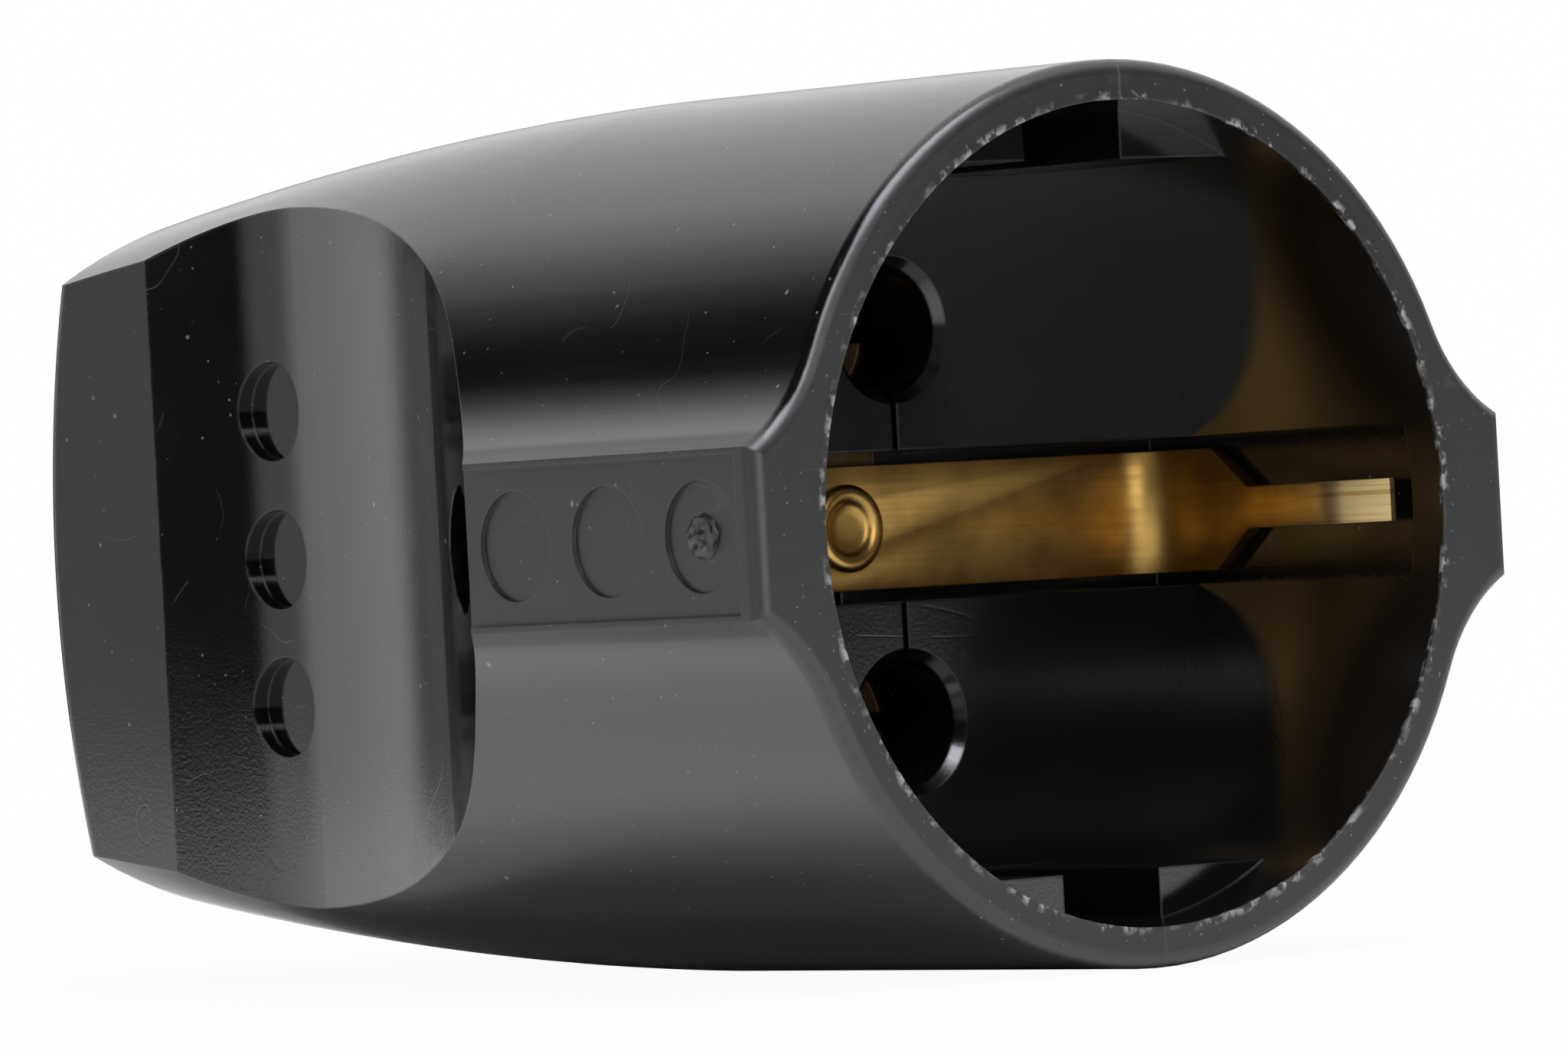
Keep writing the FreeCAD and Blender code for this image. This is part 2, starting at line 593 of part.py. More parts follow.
def shells():
    """The two half shells, split on the plane of the axis and both pin holes."""
    space = inner_space()
    housing = cut("housing", outside_form(), space, plug_recess(), *panels())
    ribbed = fuse("ribbed", housing, inner_ribs(space))
    opened = cut("opened", ribbed, *floor_cuts(), *housing_cuts())
    screw_half = common("screw_half", opened, half_room("screw_side_room", "-" + SPAN, "0"))
    head_room = bar_across("counterbore", "dims.counterbore_radius", "dims.shell_screw_station",
                           "-dims.shell_screw_seat", "dims.mouth_radius")
    places = (("high", "dims.peg_offset"), ("low", "-dims.peg_offset"))
    sockets = [
        peg("peg_socket_" + word, "dims.peg_radius + dims.fit_gap", "dims.peg_length + dims.fit_gap", z)
        for word, z in places
    ]
    screw_side = cut("screw_side_shell", screw_half, head_room, *sockets, *sunk_fields())
    nut_half = common("nut_half", opened, half_room("nut_side_room", "0", SPAN))
    pegs = [peg("peg_" + word, "dims.peg_radius", "dims.peg_length", z) for word, z in places]
    roots = [
        bar_across("peg_root_" + word, "dims.peg_radius", "dims.total_length - dims.peg_setback", "dims.wall",
                   "dims.wall", z)
        for word, z in places
    ]
    built = fuse("nut_half_built", nut_half, clamp_posts(space), *pegs, *roots)
    hexagon = doc.addObject("Part::Prism", "nut_pocket")
    hexagon.Polygon = 6
    bind(hexagon, Circumradius="(dims.nut_across_flats / 2 + dims.fit_gap) / cos(30)")
    bind(hexagon, Height="dims.mouth_radius")
    place(hexagon, ACROSS, "-dims.shell_screw_station", "dims.shell_screw_seat + dims.mouth_radius")
    post_holes = [
        bar_across("post_hole_" + word, "dims.clamp_screw_radius + dims.fit_gap", CLAMP,
                   "dims.clamp_screw_length - dims.clamp_post_reach", SPAN, z)
        for word, z in (("high", "dims.clamp_screw_offset"), ("low", "-dims.clamp_screw_offset"))
    ]
    nut_side = cut("nut_side_shell", built, hexagon, *post_holes)
    return [screw_side, nut_side]


def earth_strip():
    """Folded brass strip: a bar across the floor, an arm in each ear and a sprung finger on each arm."""
    owner = body("earth_strip")
    side_view = sketch(owner, "strip_side_view", "XY_Plane")
    step = "dims.strip_thickness"
    inner = [
        ("-" + STRIP_FRONT, ARM_INNER),
        ("-%s + dims.arm_height" % STRIP_FRONT, ARM_INNER),
        ("-dims.finger_contact_depth", RECESS + " - dims.finger_contact_reach"),
        ("-dims.finger_tip_depth", RECESS + " - dims.finger_tip_reach"),
    ]
    outer = [("-" + STRIP_BACK, ARM_OUTER)] + [(x, "%s + %s" % (y, step)) for x, y in inner[1:]]
    right = outer + inner[::-1]
    left = [(x, "-(%s)" % y) for x, y in right[::-1]]
    outline(side_view, right + left)
    pad(owner, "strip_bar", side_view, "dims.strip_width", midplane=True)
    shoulder = "-%s + dims.arm_height" % STRIP_FRONT
    for word, sign in (("high", ""), ("low", "-")):
        front_view = sketch(owner, "finger_side_" + word, "XZ_Plane")
        edge = "%s(dims.strip_width / 2 + dims.fit_gap)" % sign
        waist = "%sdims.finger_width / 2" % sign
        outline(front_view, [
            ("%s - dims.shoulder_length" % shoulder, edge),
            (shoulder, waist),
            ("dims.wall", waist),
            ("dims.wall", edge),
        ])
        pocket(owner, "finger_cut_" + word, front_view, SPAN, midplane=True)
    hole = sketch(owner, "rivet_hole_place", "YZ_Plane")
    circle(hole, "0", "0", "dims.rivet_shank_radius + dims.fit_gap / 2")
    pocket(owner, "rivet_hole", hole, SPAN, midplane=True)
    bend = size(ARM_INNER)

    def inside_bend(edge):
        box = edge.BoundBox
        return (box.XLength < 1e-4 and abs(abs(box.YMin) - bend) < 1e-4 and box.YLength < 1e-4
                and abs(box.XMin + size(STRIP_FRONT)) < 1e-4)

    def outside_bend(edge):
        box = edge.BoundBox
        return (box.XLength < 1e-4 and abs(abs(box.YMin) - size(ARM_OUTER)) < 1e-4 and box.YLength < 1e-4
                and abs(box.XMin + size(STRIP_BACK)) < 1e-4)

    def contact_bend(edge):
        box = edge.BoundBox
        return (box.XLength < 1e-4 and box.YLength < 1e-4
                and abs(box.XMin + size("dims.finger_contact_depth")) < 1e-4)

    round_body(owner, "inside_bends", "dims.strip_bend_radius", inside_bend)
    round_body(owner, "outside_bends", "dims.strip_bend_radius + dims.strip_thickness", outside_bend)
    round_body(owner, "contact_bends", "dims.finger_bend_radius", contact_bend)
    return owner


def earth_rivet():
    """Rivet through strip and tab, with a domed head towards the mouth and a flush tail."""
    owner = body("earth_rivet")
    profile = sketch(owner, "rivet_profile", "XY_Plane")
    crest = "(dims.rivet_head_radius + dims.rivet_cup_radius) / 2"
    roll = "(dims.rivet_head_radius - dims.rivet_cup_radius) / 2"
    rim = []
    for turn in range(0, 180, 30):
        rim.append(("-%s + dims.rivet_head_height * sin(%d)" % (STRIP_FRONT, turn),
                    "%s + %s * cos(%d)" % (crest, roll, turn)))
    outline(profile, [
        ("-(%s)" % TAB_BACK, "0"),
        ("-(%s)" % TAB_BACK, "dims.rivet_shank_radius"),
        ("-" + STRIP_FRONT, "dims.rivet_shank_radius"),
    ] + rim + [("-%s + dims.rivet_head_height / 2" % STRIP_FRONT, "0")])
    revolve(owner, "rivet_turned", profile, "H_Axis")
    return owner


def earth_tab():
    """Bent tab that takes the earth from the rivet over the screw boss to its terminal."""
    owner = body("earth_tab")
    side_view = sketch(owner, "tab_side_view", "XZ_Plane")
    outline(side_view, [
        ("-" + STRIP_BACK, "-dims.rivet_head_radius"),
        ("-" + STRIP_BACK, TAB_HIGH),
        ("-" + EARTH_BACK, TAB_HIGH),
        ("-" + EARTH_BACK, TAB_LOW),
        ("-" + TAB_BACK, TAB_LOW),
        ("-" + TAB_BACK, "-dims.rivet_head_radius"),
    ])
    pad(owner, "tab_bent", side_view, "dims.tab_width", midplane=True)
    rivet = sketch(owner, "tab_rivet_place", "YZ_Plane")
    circle(rivet, "0", "0", "dims.rivet_shank_radius + dims.fit_gap / 2")
    pocket(owner, "tab_rivet_hole", rivet, "2 * (%s)" % TAB_BACK, midplane=True)
    stud = sketch(owner, "tab_stud_place", "XY_Plane")
    circle(stud, "-(%s + %s) / 2" % (EARTH_FRONT, EARTH_BACK), "0",
           "dims.rivet_shank_radius + dims.fit_gap / 2")
    pocket(owner, "tab_stud_hole", stud, SPAN, midplane=True)
    return owner


def earth_terminal():
    """Brass block under the end of the tab, with a peened stud, a wire hole and a screw hole."""
    owner = body("earth_terminal")
    side_view = sketch(owner, "earth_block_view", "XZ_Plane")
    outline(side_view, [
        ("-" + EARTH_FRONT, TAB_LOW),
        ("-" + EARTH_BACK, TAB_LOW),
        ("-" + EARTH_BACK, "%s - dims.earth_block_height" % TAB_LOW),
        ("-" + EARTH_FRONT, "%s - dims.earth_block_height" % TAB_LOW),
    ])
    pad(owner, "earth_block", side_view, "2 * dims.contact_radius", midplane=True)
    stud = sketch(owner, "earth_stud_place", "XY_Plane", TAB_LOW)
    circle(stud, "-(%s + %s) / 2" % (EARTH_FRONT, EARTH_BACK), "0", "dims.rivet_shank_radius")
    pad(owner, "earth_stud", stud, "dims.tab_thickness + dims.fit_gap")
    middle = "%s - dims.earth_block_height / 2" % TAB_LOW
    wire = sketch(owner, "earth_wire_place", "YZ_Plane", "-" + EARTH_BACK)
    circle(wire, "0", middle, "dims.wire_hole_radius")
    pocket(owner, "earth_wire_hole", wire, "dims.wire_hole_depth", reverse=True)
    screw = sketch(owner, "earth_screw_place", "XZ_Plane")
    circle(screw, "-%s + dims.terminal_screw_setback" % EARTH_BACK, middle,
           "dims.terminal_screw_radius + dims.fit_gap / 2")
    pocket(owner, "earth_screw_hole", screw, "2 * dims.contact_radius", reverse=True)
    return owner


def contact(name, z):
    """Turned brass contact: a slit sleeve for the pin in front, a wire terminal behind."""
    owner = body(name)
    profile = sketch(owner, name + "_profile", "XY_Plane")
    lead = "(dims.contact_radius - dims.contact_bore_radius) / 2"
    outline(profile, [
        ("0", "dims.contact_bore_radius + %s" % lead),
        ("0", "dims.contact_radius"),
        ("-dims.contact_length", "dims.contact_radius"),
        ("-dims.contact_length", "0"),
        ("-dims.contact_bore_depth", "0"),
        ("-dims.contact_bore_depth", "dims.contact_bore_radius"),
        ("-" + lead, "dims.contact_bore_radius"),
    ])
    revolve(owner, name + "_turned", profile, "H_Axis")
    slit = sketch(owner, name + "_slit_place", "XZ_Plane")
    half = "dims.contact_slit / 2"
    outline(slit, [
        ("-dims.contact_slit_length", "-" + half),
        ("dims.wall", "-" + half),
        ("dims.wall", half),
        ("-dims.contact_slit_length", half),
    ])
    pocket(owner, name + "_slit", slit, "4 * dims.contact_radius", midplane=True)
    wire = sketch(owner, name + "_wire_place", "YZ_Plane", "-dims.contact_length")
    circle(wire, "0", "0", "dims.wire_hole_radius")
    pocket(owner, name + "_wire_hole", wire, "dims.wire_hole_depth", reverse=True)
    screw = sketch(owner, name + "_screw_place", "XZ_Plane")
    circle(screw, "-dims.contact_length + dims.terminal_screw_setback", "0",
           "dims.terminal_screw_radius + dims.fit_gap / 2")
    pocket(owner, name + "_screw_hole", screw, "2 * dims.contact_radius", reverse=True)
    return owner, CONTACT_FRONT, z


def screw(name, radius, length):
    """Slotted screw along Y, head towards -Y, with the underside of the head at Y = 0."""
    owner = body(name)
    profile = sketch(owner, name + "_profile", "YZ_Plane")
    chamfer = "dims.screw_head_height / 4"
    outline(profile, [
        ("-dims.screw_head_height", "0"),
        ("-dims.screw_head_height", "dims.screw_head_radius - %s" % chamfer),
        ("-dims.screw_head_height + %s" % chamfer, "dims.screw_head_radius"),
        ("0", "dims.screw_head_radius"),
        ("0", radius),
        ("%s - %s / 2" % (length, radius), radius),
        (length, "%s / 2" % radius),
        (length, "0"),
    ])
    revolve(owner, name + "_turned", profile, "H_Axis")
    slot = sketch(owner, name + "_slot_place", "XZ_Plane", "dims.screw_head_height")
    half = "dims.screw_slot_width / 2"
    reach = "dims.screw_head_radius + dims.fit_gap"
    outline(slot, [("-(%s)" % reach, "-" + half), (reach, "-" + half), (reach, half), ("-(%s)" % reach, half)])
    pocket(owner, name + "_slot", slot, "dims.screw_slot_depth")
    return owner


def screw_group(name, radius, length, places):
    """Identical screws at several places, kept together as one piece of the list."""
    pattern = screw(name + "_pattern", radius, length)
    copies = []
    for i, (depth, y, z) in enumerate(places):
        item = doc.addObject("App::Link", "%s_%d" % (name, i))
        item.LinkedObject = pattern
        copies.append(place(item, UPRIGHT, "-(%s)" % depth, y, z))
    group = doc.addObject("Part::Compound", name)
    group.Links = copies
    return group


def terminal_screws():
    seat = "-dims.contact_radius - dims.terminal_screw_lift"
    contact_screw = "%s - dims.terminal_screw_setback" % CONTACT_BACK
    earth_screw = "%s - dims.terminal_screw_setback" % EARTH_BACK
    middle = "%s - dims.earth_block_height / 2" % TAB_LOW
    return screw_group("terminal_screws", "dims.terminal_screw_radius", "dims.terminal_screw_length", [
        (contact_screw, seat, HALF_PITCH),
        (contact_screw, seat, "-" + HALF_PITCH),
        (earth_screw, seat, middle),
    ])


def cord_clamp():
    """Bar with rounded ends and two biting ridges, screwed down on the posts."""
    owner = body("cord_clamp")
    plan = sketch(owner, "clamp_plan", "XZ_Plane")
    half = "dims.clamp_width / 2"
    end = "dims.clamp_screw_offset"
    wide = size(half)
    far = size(end)
    plan.addGeometry(Part.LineSegment(VECTOR(wide, -far, 0), VECTOR(wide, far, 0)), False)
    plan.addGeometry(Part.Arc(VECTOR(wide, far, 0), VECTOR(0, far + wide, 0), VECTOR(-wide, far, 0)), False)
    plan.addGeometry(Part.LineSegment(VECTOR(-wide, far, 0), VECTOR(-wide, -far, 0)), False)
    plan.addGeometry(Part.Arc(VECTOR(-wide, -far, 0), VECTOR(0, -far - wide, 0), VECTOR(wide, -far, 0)), False)
    pad(owner, "clamp_bar", plan, "dims.clamp_thickness")
    tooth = sketch(owner, "clamp_tooth_view", "XY_Plane")
    for middle in ("-dims.clamp_width / 4", "dims.clamp_width / 4"):
        outline(tooth, [
            ("%s - dims.clamp_tooth_width / 2" % middle, "0"),
            ("%s + dims.clamp_tooth_width / 2" % middle, "0"),
            (middle, "dims.clamp_tooth_height"),
        ])
    pad(owner, "clamp_teeth", tooth, "2 * (dims.clamp_screw_offset - dims.clamp_post_radius)", midplane=True)
    holes = sketch(owner, "clamp_hole_places", "XZ_Plane")
    for z in (end, "-" + end):
        circle(holes, "0", z, "dims.clamp_screw_radius + dims.fit_gap")
    pocket(owner, "clamp_holes", holes, SPAN, midplane=True)
    return owner


def clamp_screws():
    seat = "-dims.clamp_post_reach - dims.clamp_thickness"
    return screw_group("cord_clamp_screws", "dims.clamp_screw_radius", "dims.clamp_screw_length", [
        (CLAMP, seat, "dims.clamp_screw_offset"),
        (CLAMP, seat, "-dims.clamp_screw_offset"),
    ])


def shell_nut():
    """Hexagon nut in its pocket, bored for the shell screw."""
    owner = body("shell_nut")
    plan = sketch(owner, "nut_plan", "XZ_Plane")
    corner = "(dims.nut_across_flats / 2 / cos(30))"
    points = []
    for i in range(6):
        points.append(("%s * cos(%d)" % (corner, 60 * i), "%s * sin(%d)" % (corner, 60 * i)))
    outline(plan, points)
    pad(owner, "nut_blank", plan, "dims.nut_height", reverse=True)
    bore = sketch(owner, "nut_bore_place", "XZ_Plane")
    circle(bore, "0", "0", "dims.shell_screw_radius + dims.fit_gap / 2")
    pocket(owner, "nut_bore", bore, SPAN, midplane=True)
    return owner


def finish(item, x="0", y="0", z="0"):
    """Move a piece from the socket frame to its place in the part."""
    return place(item, UPRIGHT, "dims.total_length / 2 + (%s)" % x, y, "dims.mouth_radius + (%s)" % z)


def build():
    pieces = [finish(item) for item in shells()]
    pieces += [finish(make()) for make in (earth_strip, earth_rivet, earth_tab, earth_terminal)]
    for name, z in (("line_contact", HALF_PITCH), ("neutral_contact", "-" + HALF_PITCH)):
        owner, depth, height = contact(name, z)
        pieces.append(finish(owner, x="-" + depth, z=height))
    pieces.append(finish(terminal_screws()))
    pieces.append(finish(cord_clamp(), x="-" + CLAMP, y="-dims.clamp_post_reach"))
    pieces.append(finish(clamp_screws()))
    grip = "2 * dims.shell_screw_seat + dims.nut_height"
    pieces.append(finish(screw("shell_screw", "dims.shell_screw_radius", grip), x="-dims.shell_screw_station",
                         y="-dims.shell_screw_seat"))
    pieces.append(finish(shell_nut(), x="-dims.shell_screw_station", y="dims.shell_screw_seat"))
    return pieces


def check(pieces):
    for item in doc.Objects:
        if "Invalid" in item.State or "Error" in item.State:
            raise RuntimeError("failed object: %s" % item.Name)
    for item in pieces:
        if item.Shape.isNull() or not item.Shape.isValid() or not item.Shape.Solids:
            raise RuntimeError("bad shape: %s" % item.Label)


parts = build()
doc.recompute()
check(parts)
os.makedirs("parts", exist_ok=True)
for part in parts:
    part.Shape.exportStep("parts/%s.step" % part.Label)
    print(part.Label, len(part.Shape.Solids), round(part.Shape.Volume, 1))
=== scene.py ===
"""Looks of the inline socket connector: a black moulded housing, brass contacts and plated screws."""

import math

import bpy
from bpy.props import FloatProperty, FloatVectorProperty, IntProperty, PointerProperty
from mathutils import Matrix, Vector


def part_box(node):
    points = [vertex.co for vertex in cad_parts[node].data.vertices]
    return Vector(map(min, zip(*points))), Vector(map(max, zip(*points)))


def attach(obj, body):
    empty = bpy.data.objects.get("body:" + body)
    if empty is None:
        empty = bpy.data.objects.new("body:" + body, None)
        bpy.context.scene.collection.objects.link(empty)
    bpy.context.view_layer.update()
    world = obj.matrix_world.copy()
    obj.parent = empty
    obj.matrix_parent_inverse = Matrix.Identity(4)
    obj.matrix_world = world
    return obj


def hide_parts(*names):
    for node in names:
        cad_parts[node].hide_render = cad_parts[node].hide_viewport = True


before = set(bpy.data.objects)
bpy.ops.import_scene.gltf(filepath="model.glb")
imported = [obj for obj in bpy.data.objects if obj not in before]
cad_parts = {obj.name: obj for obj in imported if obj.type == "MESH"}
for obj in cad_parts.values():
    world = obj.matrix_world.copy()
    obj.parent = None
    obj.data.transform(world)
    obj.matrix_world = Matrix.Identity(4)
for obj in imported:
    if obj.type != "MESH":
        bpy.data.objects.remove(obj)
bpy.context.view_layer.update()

bl_info = {
    "name": "Inline socket connector",
    "version": (1, 0, 0),
    "blender": (4, 5, 0),
    "location": "3D View > Sidebar > Socket",
    "description": "Dresses the socket's housing, contacts, screws and studio",
    "category": "Object",
}

MM = 0.001
SMOOTH_ANGLE = math.radians(35.0)
MERGE_DISTANCE = 1e-7

RIM_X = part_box("screw_side_shell")[1].x
AXIS_Z = (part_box("screw_side_shell")[0].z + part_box("screw_side_shell")[1].z) / 2

# Where the moulding's finish changes, along the axis, across it or out from it
RIM_FACE = (RIM_X - 0.3 * MM, RIM_X - 0.1 * MM)
CHIPPED_EDGE = (19.58 * MM, 19.95 * MM)
SEAM_WIDTH = (0.02 * MM, 0.07 * MM)
REAR_PART = (15.0 * MM, 16.0 * MM)
OUTER_SKIN = (19.8 * MM, 20.2 * MM)
PANEL_FACE = (22.4 * MM, 22.8 * MM)
RECESS_WALL = (18.8 * MM, 19.0 * MM)
RECESS_FOOT = (18.4 * MM, 18.6 * MM)

# Where the earth strip is worn, and where its bends are cleaned as a painted highlight, along the axis
FINGERS = (24.0 * MM, 28.0 * MM)
BEND_START = (13.7 * MM, 14.4 * MM)
BEND_END = (15.4 * MM, 17.5 * MM)

# Strength of each kind of wear
SEAM_SHARE = 0.5
RUB_SHARE = 0.8
SCRATCH_SHARE = 0.25
RIM_PALE = 0.06
DUST_SHARE = 0.6
TARNISH_SHARE = 0.45
STREAK_SHARE = 0.55
# The bends' share is a painted highlight: cleaner brass that brightens the bends' reflection
BEND_HIGHLIGHT_SHARE = 0.8
SCRATCH_DEPTH = 0.5
DRAG_HEIGHT = 0.5
CHIP_DEPTH = 2.0

# Index of refraction of the moulding
MOULDING_INDEX = 1.85

# Roughness of the moulding, and what each place or kind of wear adds to a finish
MOULDING_GLOSS = (0.07, 0.14)
DRAG_ROUGH = 0.06
PANEL_ROUGH = 0.26
RECESS_ROUGH = 0.05
WORN_ROUGH = 0.25
DUST_ROUGH = 0.3
FINGER_ROUGH = 0.10

# Small details of the modelled pieces
STUB_FROM_RIM = 4.55 * MM
STUB_SEAT = 23.05 * MM
STUB_ROOT = 0.12 * MM
STUB_ROUGHNESS = 0.09 * MM
STUB_SIDES = 22
STUB_SEED = 7
BEND_STEPS = 12
CONTACT_STEPS = 8
STRIP_SOFT = 0.07 * MM
STRIP_SOFT_ANGLE = math.radians(50.0)
RIVET_HOLE_LENGTH = 4.0 * MM
RIVET_CORE = 1.2 * MM
SCREW_TIP = 0.3 * MM
SCREW_RUNOUT = 0.12 * MM
HEAD_FOOT = 0.08 * MM
HEAD_CROWN = (0.28 * MM, 0.13 * MM, 0.03 * MM)
SLOT_OVERCUT = 0.2 * MM
THREAD_MARGIN = 0.5 * MM
THREAD_STEPS = 24
SHELL_THREAD = 8.0 * MM
PLAIN_LENGTH = {"terminal_screws": 0.2 * MM, "cord_clamp_screws": 1.0 * MM}
TERMINAL_INSET = 4.0 * MM
EARTH_RAISE = 0.6 * MM
NUT_SIDES = 6
NUT_CHAMFER = 0.36 * MM
BORE_CHAMFER = 0.3 * MM
BORE_OVERCUT = 0.05 * MM

# Floor and screens of the studio
FLOOR_GLOW = 0.95
FLOOR_SIZE = 0.7
# Edges of the floor's painted pool of light, which only reflections show: it fades in beside the socket and
# stops in front of the mouth
SHADOW_EDGE = (12.0 * MM, 24.0 * MM)
MOUTH_SHADE = (50.0 * MM, RIM_X)
SCREEN_RADIUS = 1.6
SCREEN_TONE = (0.04, 0.04, 0.04, 1.0)

# Limits of the windows in the screens, from closed to open, as parts of a direction
LEFT_SILL = (0.05, 0.25)
LEFT_LINTEL = (0.44, 0.29)
LEFT_SIDE = (-0.56, -0.72)
LEFT_BACK = (0.05, -0.03)
LEFT_END = (-0.88, -0.998)
BACK_FRONT = (-0.40, 0.10)
BACK_SILL = (0.0, 0.25)
BACK_SIDE = (0.60, 0.30)
FRONT_SIDE = (-0.80, -0.90)
FRONT_SILL = (0.08, 0.15)
FRONT_LINTEL = (0.50, 0.40)

# How far the left window is open at its foot, and what its far end adds to that
LOW_WINDOW = 0.4
LOW_WINDOW_RISE = 0.35

# Lamps and camera
COOL_WHITE = (0.91, 0.93, 1.0)
WARM_WHITE = (1.0, 0.98, 0.95)
IMAGE_WIDTH = 2048
IMAGE_HEIGHT = 1376
SENSOR_WIDTH = 36.0


def node_middle(name):
    """Middle of a solid's box."""
    low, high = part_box(name)
    return (low + high) / 2


def length_setting(name, description, millimetres):
    """A length that a user can change, given in millimetres."""
    return FloatProperty(
        name=name, description=description, default=millimetres * MM, unit="LENGTH", precision=5
    )


def colour_setting(name, description, default):
    """A colour that a user can change."""
    return FloatVectorProperty(name=name, description=description, default=default, subtype="COLOR", size=3)


class SocketSizes(bpy.types.PropertyGroup):
    """Sizes of the modelled pieces."""

    screw_radius: length_setting("Screw radius", "Outer radius of the screw thread", 1.5)
    screw_head_radius: length_setting("Head radius", "Radius of a screw head", 2.7)
    screw_head_height: length_setting("Head height", "Height of a screw head", 1.8)
    slot_width: length_setting("Slot width", "Width of the driver slot", 0.8)
    slot_depth: length_setting("Slot depth", "Depth of the driver slot", 0.9)
    thread_pitch: length_setting("Thread pitch", "Rise of the thread in one turn", 0.5)
    thread_depth: length_setting("Thread depth", "Depth of the thread", 0.27)
    nut_width: length_setting("Nut width", "Width of the nut across its flats", 5.5)
    nut_height: length_setting("Nut height", "Height of the nut", 2.4)
    rivet_radius: length_setting("Rivet radius", "Radius of the rolled rivet head", 2.15)
    rivet_height: length_setting("Rivet height", "Height of the rolled rivet head", 0.4)
    rivet_shank: length_setting("Rivet shank", "Radius of the rivet's hole in the strip", 1.25)
    strip_thickness: length_setting("Strip thickness", "Thickness of the earth strip", 0.8)
    strip_bend: length_setting("Strip bend", "Inside radius of the strip's bends", 2.4)
    arm_height: length_setting("Arm height", "Straight arm of the strip", 7.0)
    shoulder_length: length_setting("Shoulder length", "Taper from arm to finger", 2.5)
    finger_width: length_setting("Finger width", "Width of a spring finger", 2.1)
    contact_along: length_setting("Contact place", "Contact bend, along the axis", 29.1)
    contact_across: length_setting("Contact offset", "Contact bend, from the axis", 17.38)
    contact_bend: length_setting("Contact bend", "Inside radius of the contact bend", 2.2)
    tip_across: length_setting("Tip offset", "Fingertip, from the axis", 19.0)
    stub_radius: length_setting("Stub radius", "Radius of the broken moulding stub", 0.95)
    stub_height: length_setting("Stub height", "Height of the broken moulding stub", 0.45)
    edge_round: length_setting("Edge round", "Softness of the moulded edges", 0.16)
    turned_sides: IntProperty(name="Turned sides", description="Sides of a turned piece", default=48, min=12)


class SocketColours(bpy.types.PropertyGroup):
    """Colours of the finishes."""

    plastic: colour_setting("Plastic", "Black moulding", (0.0045, 0.0045, 0.0048))
    plastic_chipped: colour_setting("Chipped plastic", "Chips along the rim", (0.38, 0.37, 0.35))
    plastic_rubbed: colour_setting("Rubbed plastic", "Edges rubbed pale", (0.085, 0.083, 0.080))
    dust: colour_setting("Dust", "Dust and lint specks", (0.34, 0.33, 0.31))
    brass: colour_setting("Brass", "Clean rolled brass", (0.84, 0.53, 0.15))
    brass_tarnish: colour_setting("Tarnish", "Brown tarnish on the brass", (0.20, 0.105, 0.035))
    brass_rubbed: colour_setting("Rubbed brass", "Fingers rubbed pale by plugs", (0.84, 0.64, 0.31))
    # The old and blackened brass colours are painted shade: they darken the pin contacts, the earth tab and
    # the terminal, which lie in shade
    brass_old: colour_setting("Old brass", "Darkened brass in the pin holes", (0.16, 0.10, 0.045))
    brass_black: colour_setting("Blackened brass", "Black film on old brass", (0.035, 0.023, 0.013))
    steel: colour_setting("Steel", "Plated steel", (0.62, 0.62, 0.63))
    steel_dull: colour_setting("Dull steel", "Dulled plating", (0.36, 0.35, 0.34))
    floor: colour_setting("Floor", "Pale studio floor", (0.90, 0.90, 0.90))


def add_node(tree, kind, values=(), **settings):
    """One shader node with its socket values and settings."""
    made = tree.nodes.new(kind)
    for name, value in settings.items():
        setattr(made, name, value)
    for socket, value in values:
        made.inputs[socket].default_value = value
    return made


def new_group(name, settings, outputs):
    """An empty shader group with a place, settings and outputs, and its two end nodes."""
    group = bpy.data.node_groups.new(name, "ShaderNodeTree")
    add_socket = group.interface.new_socket
    add_socket(name="Vector", in_out="INPUT", socket_type="NodeSocketVector")
    for label, default in settings.items():
        kind = "NodeSocketFloat" if isinstance(default, float) else "NodeSocketVector"
        add_socket(name=label, in_out="INPUT", socket_type=kind).default_value = default
    for label in outputs:
        add_socket(name=label, in_out="OUTPUT", socket_type="NodeSocketFloat")
    return group, group.nodes.new("NodeGroupInput"), group.nodes.new("NodeGroupOutput")


def wire(tree, *rows):
    """Links, each from a node and its output to another node and its input."""
    for first, outlet, second, inlet in rows:
        tree.links.new(first.outputs[outlet], second.inputs[inlet])


def mould_grain():
    """Fine grain and slow blotches of a moulded surface."""
    settings = {"Grain Scale": 5000.0, "Blotch Scale": 120.0}
    group, inlet, outlet = new_group("mould_grain", settings, ("Height", "Blotch"))
    grain = add_node(group, "ShaderNodeTexNoise", [("Detail", 3.0), ("Roughness", 0.6)])
    blotch = add_node(group, "ShaderNodeTexNoise", [("Detail", 4.0), ("Roughness", 0.55)])
    wire(
        group,
        (inlet, "Vector", grain, "Vector"),
        (inlet, "Vector", blotch, "Vector"),
        (inlet, "Grain Scale", grain, "Scale"),
        (inlet, "Blotch Scale", blotch, "Scale"),
        (grain, "Fac", outlet, "Height"),
        (blotch, "Fac", outlet, "Blotch"),
    )
    return group


